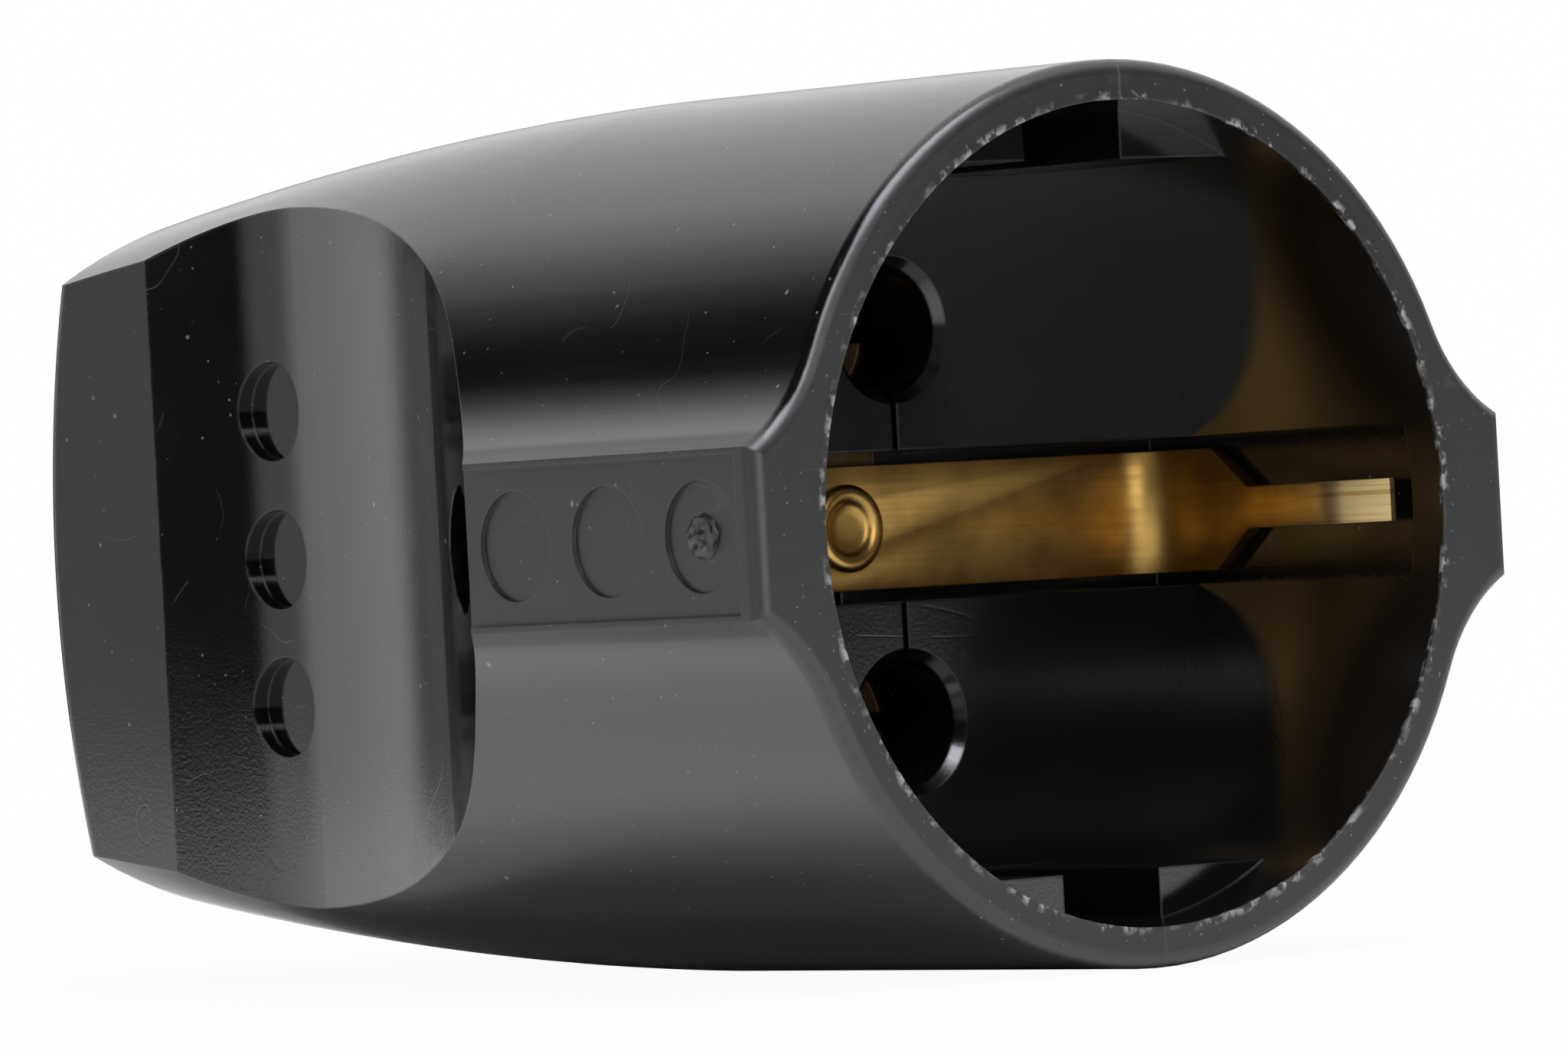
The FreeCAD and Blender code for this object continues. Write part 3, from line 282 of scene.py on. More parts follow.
def dust_specks():
    """Scattered specks of uneven size."""
    settings = {"Spread Scale": 600.0, "Speck Size": 0.07}
    group, inlet, outlet = new_group("dust_specks", settings, ("Mask",))
    cells = add_node(group, "ShaderNodeTexVoronoi")
    ragged = add_node(group, "ShaderNodeTexNoise", [("Scale", 9000.0), ("Detail", 2.0)])
    parts = add_node(group, "ShaderNodeSeparateColor")
    cube = add_node(group, "ShaderNodeMath", [(1, 3.0)], operation="POWER")
    reach = add_node(group, "ShaderNodeMath", operation="MULTIPLY")
    ragged_reach = add_node(group, "ShaderNodeMath", operation="MULTIPLY")
    inside = add_node(group, "ShaderNodeMapRange", [("To Min", 1.0), ("To Max", 0.0)])
    half = add_node(group, "ShaderNodeMath", [(1, 0.5)], operation="MULTIPLY")
    wire(
        group,
        (inlet, "Vector", cells, "Vector"),
        (inlet, "Vector", ragged, "Vector"),
        (inlet, "Spread Scale", cells, "Scale"),
        (cells, "Color", parts, "Color"),
        (parts, "Red", cube, 0),
        (cube, "Value", reach, 0),
        (inlet, "Speck Size", reach, 1),
        (reach, "Value", ragged_reach, 0),
        (ragged, "Fac", ragged_reach, 1),
        (ragged_reach, "Value", half, 0),
        (cells, "Distance", inside, "Value"),
        (half, "Value", inside, "From Min"),
        (ragged_reach, "Value", inside, "From Max"),
        (inside, "Result", outlet, "Mask"),
    )
    return group


def hair_scratches():
    """Thin broken scratch lines."""
    settings = {"Scale": 180.0, "Line Width": 0.004}
    group, inlet, outlet = new_group("hair_scratches", settings, ("Mask",))
    slant = [("Rotation", (0.5, 0.3, 0.9)), ("Scale", (1.0, 0.18, 1.0))]
    stretch = add_node(group, "ShaderNodeMapping", slant)
    lines = add_node(group, "ShaderNodeTexNoise", [("Detail", 1.0), ("Distortion", 0.4)])
    breaks = add_node(group, "ShaderNodeTexNoise", [("Scale", 420.0), ("Detail", 1.0)])
    offset = add_node(group, "ShaderNodeMath", [(1, 0.5)], operation="SUBTRACT")
    size = add_node(group, "ShaderNodeMath", operation="ABSOLUTE")
    thin = add_node(group, "ShaderNodeMapRange", [("From Min", 0.0), ("To Min", 1.0), ("To Max", 0.0)])
    gaps = add_node(group, "ShaderNodeMapRange", [("From Min", 0.52), ("From Max", 0.62)])
    kept = add_node(group, "ShaderNodeMath", operation="MULTIPLY")
    wire(
        group,
        (inlet, "Vector", stretch, "Vector"),
        (stretch, "Vector", lines, "Vector"),
        (inlet, "Vector", breaks, "Vector"),
        (inlet, "Scale", lines, "Scale"),
        (lines, "Fac", offset, 0),
        (offset, "Value", size, 0),
        (size, "Value", thin, "Value"),
        (inlet, "Line Width", thin, "From Max"),
        (breaks, "Fac", gaps, "Value"),
        (thin, "Result", kept, 0),
        (gaps, "Result", kept, 1),
        (kept, "Value", outlet, "Mask"),
    )
    return group


def edge_rub():
    """Uneven rubbing along edges and corners."""
    settings = {"Radius": 0.3 * MM, "Patch Scale": 260.0}
    group, inlet, outlet = new_group("edge_rub", settings, ("Mask",))
    rounded = add_node(group, "ShaderNodeBevel", samples=2)
    surface = add_node(group, "ShaderNodeNewGeometry")
    facing = add_node(group, "ShaderNodeVectorMath", operation="DOT_PRODUCT")
    edge = add_node(group, "ShaderNodeMapRange", [("From Min", 0.995), ("From Max", 0.80), ("To Min", 0.0)])
    patches = add_node(group, "ShaderNodeTexNoise", [("Detail", 5.0), ("Roughness", 0.7)])
    worn = add_node(group, "ShaderNodeMapRange", [("From Min", 0.45), ("From Max", 0.68)])
    mask = add_node(group, "ShaderNodeMath", operation="MULTIPLY")
    wire(
        group,
        (inlet, "Radius", rounded, "Radius"),
        (rounded, "Normal", facing, 0),
        (surface, "Normal", facing, 1),
        (facing, "Value", edge, "Value"),
        (inlet, "Vector", patches, "Vector"),
        (inlet, "Patch Scale", patches, "Scale"),
        (patches, "Fac", worn, "Value"),
        (edge, "Result", mask, 0),
        (worn, "Result", mask, 1),
        (mask, "Value", outlet, "Mask"),
    )
    return group


def rolled_streaks():
    """Streaks left by rolling or turning, and cloudy tarnish."""
    settings = {"Stretch": (60.0, 60.0, 4000.0), "Cloud Scale": 160.0}
    group, inlet, outlet = new_group("rolled_streaks", settings, ("Streak", "Tarnish"))
    stretch = add_node(group, "ShaderNodeVectorMath", operation="MULTIPLY")
    streak = add_node(group, "ShaderNodeTexNoise", [("Scale", 1.0), ("Detail", 3.0), ("Roughness", 0.65)])
    cloud = add_node(group, "ShaderNodeTexNoise", [("Detail", 5.0), ("Roughness", 0.6)])
    spread = add_node(group, "ShaderNodeMapRange", [("From Min", 0.40), ("From Max", 0.66)])
    wire(
        group,
        (inlet, "Vector", stretch, 0),
        (inlet, "Stretch", stretch, 1),
        (stretch, "Vector", streak, "Vector"),
        (inlet, "Vector", cloud, "Vector"),
        (inlet, "Cloud Scale", cloud, "Scale"),
        (cloud, "Fac", spread, "Value"),
        (streak, "Fac", outlet, "Streak"),
        (spread, "Result", outlet, "Tarnish"),
    )
    return group


def new_material(name):
    """A material with its shader, its object coordinates and its link call."""
    material = bpy.data.materials.new(name)
    material.use_nodes = True
    tree = material.node_tree
    shader = tree.nodes["Principled BSDF"]
    place = tree.nodes.new("ShaderNodeTexCoord").outputs["Object"]
    return material, tree, shader, place, tree.links.new


def add_effect(tree, build, place, **values):
    """One placed node group, built at its first use and fed by object coordinates."""
    effect = tree.nodes.new("ShaderNodeGroup")
    effect.node_tree = bpy.data.node_groups.get(build.__name__) or build()
    for name, value in values.items():
        effect.inputs[name.replace("_", " ")].default_value = value
    tree.links.new(place, effect.inputs["Vector"])
    return effect


def colour(value):
    """A property's colour with full alpha."""
    return (*value, 1.0)


def ramp(tree, value, low, high, start=0.0, end=1.0):
    """A value that goes straight from start at low to end at high, and stays level beyond both."""
    limits = [("From Min", low), ("From Max", high), ("To Min", start), ("To Max", end)]
    made = add_node(tree, "ShaderNodeMapRange", limits)
    tree.links.new(value, made.inputs["Value"])
    return made.outputs["Result"]


def below(tree, value, inner, outer):
    """A mask that is 1 where a value is below inner and fades to 0 at outer."""
    return ramp(tree, value, inner, outer, start=1.0, end=0.0)


def rising(tree, value, low, high):
    """A mask that rises smoothly from 0 at low to 1 at high, or falls where low is the larger."""
    mask = add_node(tree, "ShaderNodeMapRange", interpolation_type="SMOOTHSTEP")
    mask.inputs["From Min"].default_value = low
    mask.inputs["From Max"].default_value = high
    tree.links.new(value, mask.inputs["Value"])
    return mask.outputs["Result"]


def combine(tree, operation, first, second):
    """One math node on two values."""
    made = add_node(tree, "ShaderNodeMath", operation=operation)
    for socket, value in zip(made.inputs, (first, second)):
        if isinstance(value, float):
            socket.default_value = value
        else:
            tree.links.new(value, socket)
    return made.outputs["Value"]


def product(tree, first, *others):
    """The product of several values."""
    for other in others:
        first = combine(tree, "MULTIPLY", first, other)
    return first


def total(tree, first, *others):
    """The sum of several values."""
    for other in others:
        first = combine(tree, "ADD", first, other)
    return first


def largest(tree, first, *others):
    """The largest of several values."""
    for other in others:
        first = combine(tree, "MAXIMUM", first, other)
    return first


def from_axis(tree, place):
    """Distance along the socket, distance across it and distance from its axis."""
    moved = add_node(tree, "ShaderNodeVectorMath", [(1, (0.0, 0.0, AXIS_Z))], operation="SUBTRACT")
    parts = add_node(tree, "ShaderNodeSeparateXYZ")
    flat = add_node(tree, "ShaderNodeVectorMath", [(1, (0.0, 1.0, 1.0))], operation="MULTIPLY")
    radius = add_node(tree, "ShaderNodeVectorMath", operation="LENGTH")
    tree.links.new(place, moved.inputs[0])
    wire(
        tree,
        (moved, "Vector", parts, "Vector"),
        (moved, "Vector", flat, 0),
        (flat, "Vector", radius, 0),
    )
    across = combine(tree, "ABSOLUTE", parts.outputs["Y"], 0.0)
    return parts.outputs["X"], across, radius.outputs["Value"]


def tinted(tree, base, tint, mask):
    """A colour mixed over another by a mask."""
    mix = add_node(tree, "ShaderNodeMix", data_type="RGBA")
    if isinstance(base, tuple):
        mix.inputs["A"].default_value = base
    else:
        tree.links.new(base, mix.inputs["A"])
    mix.inputs["B"].default_value = tint
    tree.links.new(mask, mix.inputs["Factor"])
    return mix.outputs["Result"]


def rim_wear(tree, place, rim_face, across, out):
    """Masks of the chips along the rim's inner edge and of the seam across the rim."""
    chips = add_effect(tree, mould_grain, place, Grain_Scale=1500.0, Blotch_Scale=420.0)
    broken = ramp(tree, chips.outputs["Height"], low=0.50, high=0.60)
    patches = ramp(tree, chips.outputs["Blotch"], low=0.40, high=0.58)
    chipped = product(tree, rim_face, below(tree, out, *CHIPPED_EDGE), broken, patches)
    seam = product(tree, below(tree, across, *SEAM_WIDTH), rim_face, SEAM_SHARE)
    return chipped, seam


def soft_normal(tree, radius, sharp):
    """Normals that soften every edge, apart from where the mask of sharp places is 1."""
    rounded = add_node(tree, "ShaderNodeBevel", [("Radius", radius)], samples=2)
    surface = add_node(tree, "ShaderNodeNewGeometry")
    mix = add_node(tree, "ShaderNodeMix", data_type="VECTOR")
    vector_a, vector_b = mix.inputs[4:6]
    tree.links.new(sharp, mix.inputs["Factor"])
    tree.links.new(rounded.outputs["Normal"], vector_a)
    tree.links.new(surface.outputs["Normal"], vector_b)
    return mix.outputs[1]


def black_moulding(sizes, colours):
    """Glossy black moulding with grain, drag lines, hair scratches, dust, rubbed edges and a chipped rim."""
    material, tree, shader, place, link = new_material("black_moulding")
    shader.inputs["IOR"].default_value = MOULDING_INDEX
    grain = add_effect(tree, mould_grain, place, Grain_Scale=5200.0, Blotch_Scale=140.0)
    dust = add_effect(tree, dust_specks, place, Spread_Scale=560.0, Speck_Size=0.22)
    lint = add_effect(tree, dust_specks, place, Spread_Scale=1700.0, Speck_Size=0.32)
    scratch = add_effect(tree, hair_scratches, place, Scale=150.0, Line_Width=0.005)
    rub = add_effect(tree, edge_rub, place, Radius=0.28 * MM, Patch_Scale=300.0)
    drag = add_effect(tree, rolled_streaks, place, Stretch=(45.0, 1500.0, 1500.0), Cloud_Scale=90.0)
    along, across, out = from_axis(tree, place)

    rim_face = ramp(tree, along, *RIM_FACE)
    shell_skin = ramp(tree, out, *OUTER_SKIN)
    outside = largest(tree, below(tree, along, *REAR_PART), shell_skin, rim_face)
    inside = combine(tree, "SUBTRACT", 1.0, outside)
    chips, seam = rim_wear(tree, place, rim_face, across, out)
    worn = product(tree, rub.outputs["Mask"], outside, RUB_SHARE)
    lines = product(tree, scratch.outputs["Mask"], outside, SCRATCH_SHARE)
    pale = largest(tree, worn, lines, seam, product(tree, rim_face, RIM_PALE))
    specks = largest(tree, dust.outputs["Mask"], lint.outputs["Mask"])
    skin = tinted(tree, colour(colours.plastic), colour(colours.plastic_rubbed), pale)
    skin = tinted(tree, skin, colour(colours.plastic_chipped), chips)
    skin = tinted(tree, skin, colour(colours.dust), product(tree, specks, outside, DUST_SHARE))
    link(skin, shader.inputs["Base Color"])

    drag_line = product(tree, drag.outputs["Streak"], shell_skin)
    flat_face = largest(tree, ramp(tree, across, *PANEL_FACE), rim_face)
    matte = largest(tree, product(tree, flat_face, PANEL_ROUGH), product(tree, inside, RECESS_ROUGH))
    gloss = ramp(tree, grain.outputs["Blotch"], 0.0, 1.0, *MOULDING_GLOSS)
    dragged = ramp(tree, drag_line, low=0.35, high=0.75, end=DRAG_ROUGH)
    rough = total(tree, gloss, dragged, matte, product(tree, largest(tree, pale, chips), WORN_ROUGH))
    link(rough, shader.inputs["Roughness"])

    raised = total(tree, grain.outputs["Height"], product(tree, drag_line, DRAG_HEIGHT))
    sunk = product(tree, scratch.outputs["Mask"], SCRATCH_DEPTH)
    sunk = total(tree, sunk, product(tree, total(tree, seam, chips), CHIP_DEPTH))
    bump = add_node(tree, "ShaderNodeBump", [("Strength", 0.09), ("Distance", 0.04 * MM)])
    link(combine(tree, "SUBTRACT", raised, sunk), bump.inputs["Height"])
    corner = product(tree, inside, ramp(tree, out, *RECESS_WALL), below(tree, along, *RECESS_FOOT))
    link(soft_normal(tree, sizes.edge_round, corner), bump.inputs["Normal"])
    link(bump.outputs["Normal"], shader.inputs["Normal"])
    return material


def streaked_metal(name, clean, dull, stretch, cloud_scale, gloss, edge_round):
    """Bare metal with streaks along its working, cloudy tarnish and softened edges."""
    material, tree, shader, place, link = new_material(name)
    shader.inputs["Metallic"].default_value = 1.0
    streaks = add_effect(tree, rolled_streaks, place, Stretch=stretch, Cloud_Scale=cloud_scale)
    dust = add_effect(tree, dust_specks, place, Spread_Scale=1300.0, Speck_Size=0.10)
    streak = streaks.outputs["Streak"]
    tarnish = product(tree, streaks.outputs["Tarnish"], TARNISH_SHARE)
    tarnish = total(tree, tarnish, product(tree, streak, STREAK_SHARE))
    link(tinted(tree, colour(clean), colour(dull), tarnish), shader.inputs["Base Color"])
    dusty = product(tree, dust.outputs["Mask"], DUST_ROUGH)
    link(total(tree, ramp(tree, streak, 0.0, 1.0, *gloss), dusty), shader.inputs["Roughness"])
    rounded = add_node(tree, "ShaderNodeBevel", [("Radius", edge_round)], samples=4)
    bump = add_node(tree, "ShaderNodeBump", [("Strength", 0.12), ("Distance", 0.03 * MM)])
    link(streak, bump.inputs["Height"])
    link(rounded.outputs["Normal"], bump.inputs["Normal"])
    link(bump.outputs["Normal"], shader.inputs["Normal"])
    return material


def rub_fingers(material, clean, rubbed):
    """Clean brass on the bends, a painted highlight that brightens their reflection, and paler, duller brass
    on the fingers, where plugs rub.
    """
    tree = material.node_tree
    shader = tree.nodes["Principled BSDF"]
    place = add_node(tree, "ShaderNodeTexCoord").outputs["Object"]
    along = from_axis(tree, place)[0]
    fingers = ramp(tree, along, *FINGERS)
    # Cleaner brass on the bends is a painted highlight
    bends = product(tree, rising(tree, along, *BEND_START), below(tree, along, *BEND_END))
    lines = add_effect(tree, rolled_streaks, place, Stretch=(90.0, 90.0, 5200.0), Cloud_Scale=600.0)
    worn = product(tree, fingers, rising(tree, lines.outputs["Streak"], low=0.30, high=0.52))
    skin = shader.inputs["Base Color"].links[0].from_socket
    rough = shader.inputs["Roughness"].links[0].from_socket
    skin = tinted(tree, skin, colour(clean), product(tree, bends, BEND_HIGHLIGHT_SHARE))
    tree.links.new(tinted(tree, skin, colour(rubbed), worn), shader.inputs["Base Color"])
    rough = total(tree, rough, product(tree, fingers, FINGER_ROUGH))
    tree.links.new(rough, shader.inputs["Roughness"])
    return material


def rolled_brass(sizes, colours):
    """Rolled sheet brass, streaked along the strip, worn by plugs and cleaner on the bends as a painted
    highlight.
    """
    bare = streaked_metal(
        "rolled_brass",
        colours.brass,
        colours.brass_tarnish,
        stretch=(70.0, 70.0, 4200.0),
        cloud_scale=170.0,
        gloss=(0.30, 0.44),
        edge_round=sizes.edge_round / 2,
    )
    return rub_fingers(bare, colours.brass, colours.brass_rubbed)


def turned_brass(sizes, colours):
    """Turned brass, streaked round its axis."""
    return streaked_metal(
        "turned_brass",
        colours.brass,
        colours.brass_tarnish,
        stretch=(5200.0, 80.0, 80.0),
        cloud_scale=220.0,
        gloss=(0.20, 0.36),
        edge_round=sizes.edge_round,
    )


def shade_painted_brass(sizes, colours):
    """Brass darkened as painted shade, for the pin contacts, the earth tab and the terminal, which lie in
    shade.
    """
    return streaked_metal(
        "shade_painted_brass",
        colours.brass_old,
        colours.brass_black,
        stretch=(5200.0, 80.0, 80.0),
        cloud_scale=260.0,
        gloss=(0.40, 0.60),
        edge_round=sizes.edge_round,
    )


def plated_steel(sizes, colours):
    """Bright plated steel, a little dulled."""
    return streaked_metal(
        "plated_steel",
        colours.steel,
        colours.steel_dull,
        stretch=(900.0, 900.0, 900.0),
        cloud_scale=420.0,
        gloss=(0.22, 0.42),
        edge_round=sizes.edge_round / 2,
    )


FINISHES = {
    "black_moulding": black_moulding,
    "rolled_brass": rolled_brass,
    "turned_brass": turned_brass,
    "shade_painted_brass": shade_painted_brass,
    "plated_steel": plated_steel,
}


def finish_material(name):
    """The named finish, made at its first use."""
    if name in bpy.data.materials:
        return bpy.data.materials[name]
    scene = bpy.context.scene
    return FINISHES[name](scene.socket_sizes, scene.socket_colours)


def dress(piece, finish):
    """Give a piece one finish in place of what it has."""
    piece.data.materials.clear()
    piece.data.materials.append(finish_material(finish))


def clear_selection():
    """Leave nothing selected, in object mode."""
    if bpy.context.object is not None and bpy.context.object.mode != "OBJECT":
        bpy.ops.object.mode_set(mode="OBJECT")
    bpy.ops.object.select_all(action="DESELECT")


def select_only(piece):
    """Make one piece the selected and active one."""
    clear_selection()
    piece.select_set(True)
    bpy.context.view_layer.objects.active = piece


def name_piece(name):
    """Name the active object and its mesh."""
    piece = bpy.context.object
    piece.name = name
    piece.data.name = name
    return piece


def edit_all():
    """Go to edit mode with the whole active mesh selected."""
    bpy.ops.object.mode_set(mode="EDIT")
    bpy.ops.mesh.select_all(action="SELECT")


def close_up(piece):
    """Merge doubles and turn every face outwards."""
    select_only(piece)
    edit_all()
    bpy.ops.mesh.remove_doubles(threshold=MERGE_DISTANCE)
    bpy.ops.mesh.normals_make_consistent(inside=False)
    bpy.ops.object.mode_set(mode="OBJECT")


def turned(name, stations, sides):
    """A closed turned solid, drawn out from a disc along Z through (radius, height) stations."""
    clear_selection()
    radius, height = stations[0]
    bottom = (0, 0, height)
    bpy.ops.mesh.primitive_circle_add(vertices=sides, radius=radius, fill_type="NGON", location=bottom)
    piece = name_piece(name)
    bpy.ops.object.transform_apply(location=True, rotation=True, scale=True)
    edit_all()
    for next_radius, next_height in stations[1:]:
        grow = next_radius / radius
        bpy.ops.mesh.extrude_region_move(TRANSFORM_OT_translate={"value": (0, 0, next_height - height)})
        bpy.ops.transform.resize(value=(grow, grow, 1.0), center_override=(0, 0, next_height))
        radius = next_radius
        height = next_height
    bpy.ops.object.mode_set(mode="OBJECT")
    close_up(piece)
    return piece


def apply_boolean(piece, tool, operation):
    """Cut or trim a piece with another, which is then removed."""
    select_only(piece)
    trim = piece.modifiers.new("trim", "BOOLEAN")
    trim.operation = operation
    trim.solver = "EXACT"
    trim.object = tool
    bpy.ops.object.modifier_apply(modifier="trim")
    bpy.data.meshes.remove(tool.data)


def join_into(piece, others):
    """Join other meshes into a piece."""
    select_only(piece)
    for other in others:
        other.select_set(True)
    bpy.ops.object.join()
    return piece


def settle(piece, turn, place):
    """Turn and move a piece to its place and keep that in its mesh."""
    select_only(piece)
    piece.rotation_euler = turn
    piece.location = place
    bpy.ops.object.transform_apply(location=True, rotation=True, scale=True)
    bpy.ops.object.shade_smooth_by_angle(angle=SMOOTH_ANGLE)


def fix(piece, finish, slot, *nodes):
    """Dress a finished piece and seat it on the socket."""
    dress(piece, finish)
    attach(piece, "root")
    if nodes:
        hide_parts(*nodes)


def dress_nodes(finish, *nodes):
    """Dress solids that keep their own shape."""
    for name in nodes:
        dress(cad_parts[name], finish)


FACE_FRONT = (math.radians(90.0), 0.0, 0.0)
FACE_BACK = (math.radians(-90.0), 0.0, 0.0)
FACE_MOUTH = (0.0, math.radians(90.0), 0.0)


class SOCKET_OT_half_shells(bpy.types.Operator):
    """Dress the two half shells as black moulding"""

    bl_idname = "socket.half_shells"
    bl_label = "Half shells"

    def execute(self, context):
        dress_nodes("black_moulding", "screw_side_shell", "nut_side_shell")
        return {"FINISHED"}


class SOCKET_OT_moulding_stub(bpy.types.Operator):
    """Model the rough stub where the moulding was broken off its feed"""

    bl_idname = "socket.moulding_stub"
    bl_label = "Moulding stub"

    def execute(self, context):
        sizes = context.scene.socket_sizes
        wide = sizes.stub_radius
        high = sizes.stub_height
        stations = [
            (wide * 1.15, -STUB_ROOT),
            (wide * 1.1, 0.0),
            (wide * 0.98, high * 0.35),
            (wide * 0.9, high * 0.7),
            (wide * 0.7, high * 0.85),
            (wide * 0.45, high * 0.7),
            (wide * 0.2, high * 0.95),
        ]
        stub = turned("moulding_stub", stations, STUB_SIDES)
        edit_all()
        bpy.ops.transform.vertex_random(offset=STUB_ROUGHNESS, uniform=0.6, normal=0.4, seed=STUB_SEED)
        bpy.ops.mesh.normals_make_consistent(inside=False)
        bpy.ops.object.mode_set(mode="OBJECT")
        settle(stub, FACE_FRONT, (RIM_X - STUB_FROM_RIM, -STUB_SEAT, AXIS_Z))
        fix(stub, "black_moulding", "housing")
        return {"FINISHED"}


def arc(centre, radius, start, end, steps):
    """Points on an arc, by angles in degrees from +X towards +Y."""
    points = []
    for step in range(steps + 1):
        angle = math.radians(start + (end - start) * step / steps)
        points.append((centre[0] + radius * math.cos(angle), centre[1] + radius * math.sin(angle)))
    return points


def strip_side(sizes, low, high):
    """Stations (along, across, half width) of the strip's inner face, from its middle to one fingertip."""
    thick = sizes.strip_thickness
    front = low.x + thick
    wall = high.y - thick
    bend = sizes.strip_bend
    half = (high.z - low.z) / 2
    waist = sizes.finger_width / 2
    shoulder = front + sizes.arm_height
    stations = [(front, 0.0, half)]
    for along, across in arc((front + bend, wall - bend), bend, 180.0, 90.0, BEND_STEPS):
        stations.append((along, across, half))
    stations.append((shoulder - sizes.shoulder_length, wall, half))
    stations.append((shoulder, wall, waist))
    fall = math.degrees(math.atan2(wall - sizes.contact_across, sizes.contact_along - shoulder))
    rise = math.degrees(math.atan2(sizes.tip_across - sizes.contact_across, high.x - sizes.contact_along))
    turn = sizes.contact_bend * math.tan(math.radians(fall + rise) / 2)
    slope = math.radians(fall)
    centre_along = sizes.contact_along - turn * math.cos(slope) + sizes.contact_bend * math.sin(slope)
    centre_across = sizes.contact_across + turn * math.sin(slope) + sizes.contact_bend * math.cos(slope)
    centre = (centre_along, centre_across)
    for along, across in arc(centre, sizes.contact_bend, 270.0 - fall, 270.0 + rise, CONTACT_STEPS):
        stations.append((along, across, waist))
    stations.append((high.x, sizes.tip_across, waist))
    return stations


class SOCKET_OT_earth_strip(bpy.types.Operator):
    """Bend the earth strip with its spring fingers, and dress it, its tab and its terminal"""

    bl_idname = "socket.earth_strip"
    bl_label = "Earth strip"

    def execute(self, context):
        sizes = context.scene.socket_sizes
        low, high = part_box("earth_strip")
        one_side = strip_side(sizes, low, high)
        other_side = [(along, -across, half) for along, across, half in reversed(one_side)]
        stations = other_side + one_side[1:]
        clear_selection()
        along, across, half = stations[0]
        bpy.ops.mesh.primitive_plane_add(
            size=2 * half, location=(along, across, AXIS_Z), rotation=(0.0, math.radians(90.0), 0.0)
        )
        strip = name_piece("sprung_strip")
        bpy.ops.object.transform_apply(location=True, rotation=True, scale=True)
        edit_all()
        bpy.ops.transform.resize(value=(1.0, 0.0, 1.0), center_override=(along, across, AXIS_Z))
        bpy.ops.mesh.remove_doubles(threshold=MERGE_DISTANCE)
        for next_along, next_across, next_half in stations[1:]:
            step = (next_along - along, next_across - across, 0.0)
            bpy.ops.mesh.extrude_region_move(TRANSFORM_OT_translate={"value": step})
            grow = next_half / half
            middle = (next_along, next_across, AXIS_Z)
            bpy.ops.transform.resize(value=(1.0, 1.0, grow), center_override=middle)
            along, across, half = next_along, next_across, next_half
        bpy.ops.object.mode_set(mode="OBJECT")
        wall = strip.modifiers.new("wall", "SOLIDIFY")
        wall.thickness = sizes.strip_thickness
        wall.offset = 1.0
        wall.use_even_offset = True
        bpy.ops.object.modifier_apply(modifier="wall")
        close_up(strip)
        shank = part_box("earth_rivet")[0].x
        bore = [(sizes.rivet_shank, 0.0), (sizes.rivet_shank, RIVET_HOLE_LENGTH)]
        hole = turned("rivet_hole", bore, sizes.turned_sides)
        settle(hole, FACE_MOUTH, (shank, 0.0, AXIS_Z))
        apply_boolean(strip, hole, "DIFFERENCE")
        soft = strip.modifiers.new("soft", "BEVEL")
        soft.width = STRIP_SOFT
        soft.segments = 2
        soft.limit_method = "ANGLE"
        soft.angle_limit = STRIP_SOFT_ANGLE
        bpy.ops.object.modifier_apply(modifier="soft")
        settle(strip, (0.0, 0.0, 0.0), (0.0, 0.0, 0.0))
        fix(strip, "rolled_brass", "brass", "earth_strip")
        # The tab and the terminal get brass darkened as painted shade
        dress_nodes("shade_painted_brass", "earth_tab", "earth_terminal")
        return {"FINISHED"}


class SOCKET_OT_earth_rivet(bpy.types.Operator):
    """Model the rivet with its rolled and dished head"""

    bl_idname = "socket.earth_rivet"
    bl_label = "Earth rivet"

    def execute(self, context):
        sizes = context.scene.socket_sizes
        low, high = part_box("earth_rivet")
        seat = high.x - sizes.rivet_height
        wide = sizes.rivet_radius
        tall = sizes.rivet_height
        stations = [
            (RIVET_CORE, low.x - seat),
            (RIVET_CORE, 0.0),
            (wide * 0.93, 0.0),
            (wide * 0.985, tall * 0.15),
            (wide, tall * 0.4),
            (wide * 0.97, tall * 0.7),
            (wide * 0.9, tall * 0.92),
            (wide * 0.8, tall),
            (wide * 0.69, tall * 0.92),
            (wide * 0.61, tall * 0.68),
            (wide * 0.56, tall * 0.36),
            (wide * 0.52, tall * 0.26),
            (wide * 0.3, tall * 0.2),
            (wide * 0.1, tall * 0.18),
        ]
        rivet = turned("rolled_rivet", stations, sizes.turned_sides)
        settle(rivet, FACE_MOUTH, (seat, 0.0, AXIS_Z))
        fix(rivet, "turned_brass", "brass", "earth_rivet")
        return {"FINISHED"}


class SOCKET_OT_pin_contacts(bpy.types.Operator):
    """Dress the two pin contacts as brass darkened with painted shade"""

    bl_idname = "socket.pin_contacts"
    bl_label = "Pin contacts"

    def execute(self, context):
        dress_nodes("shade_painted_brass", "line_contact", "neutral_contact")
        return {"FINISHED"}


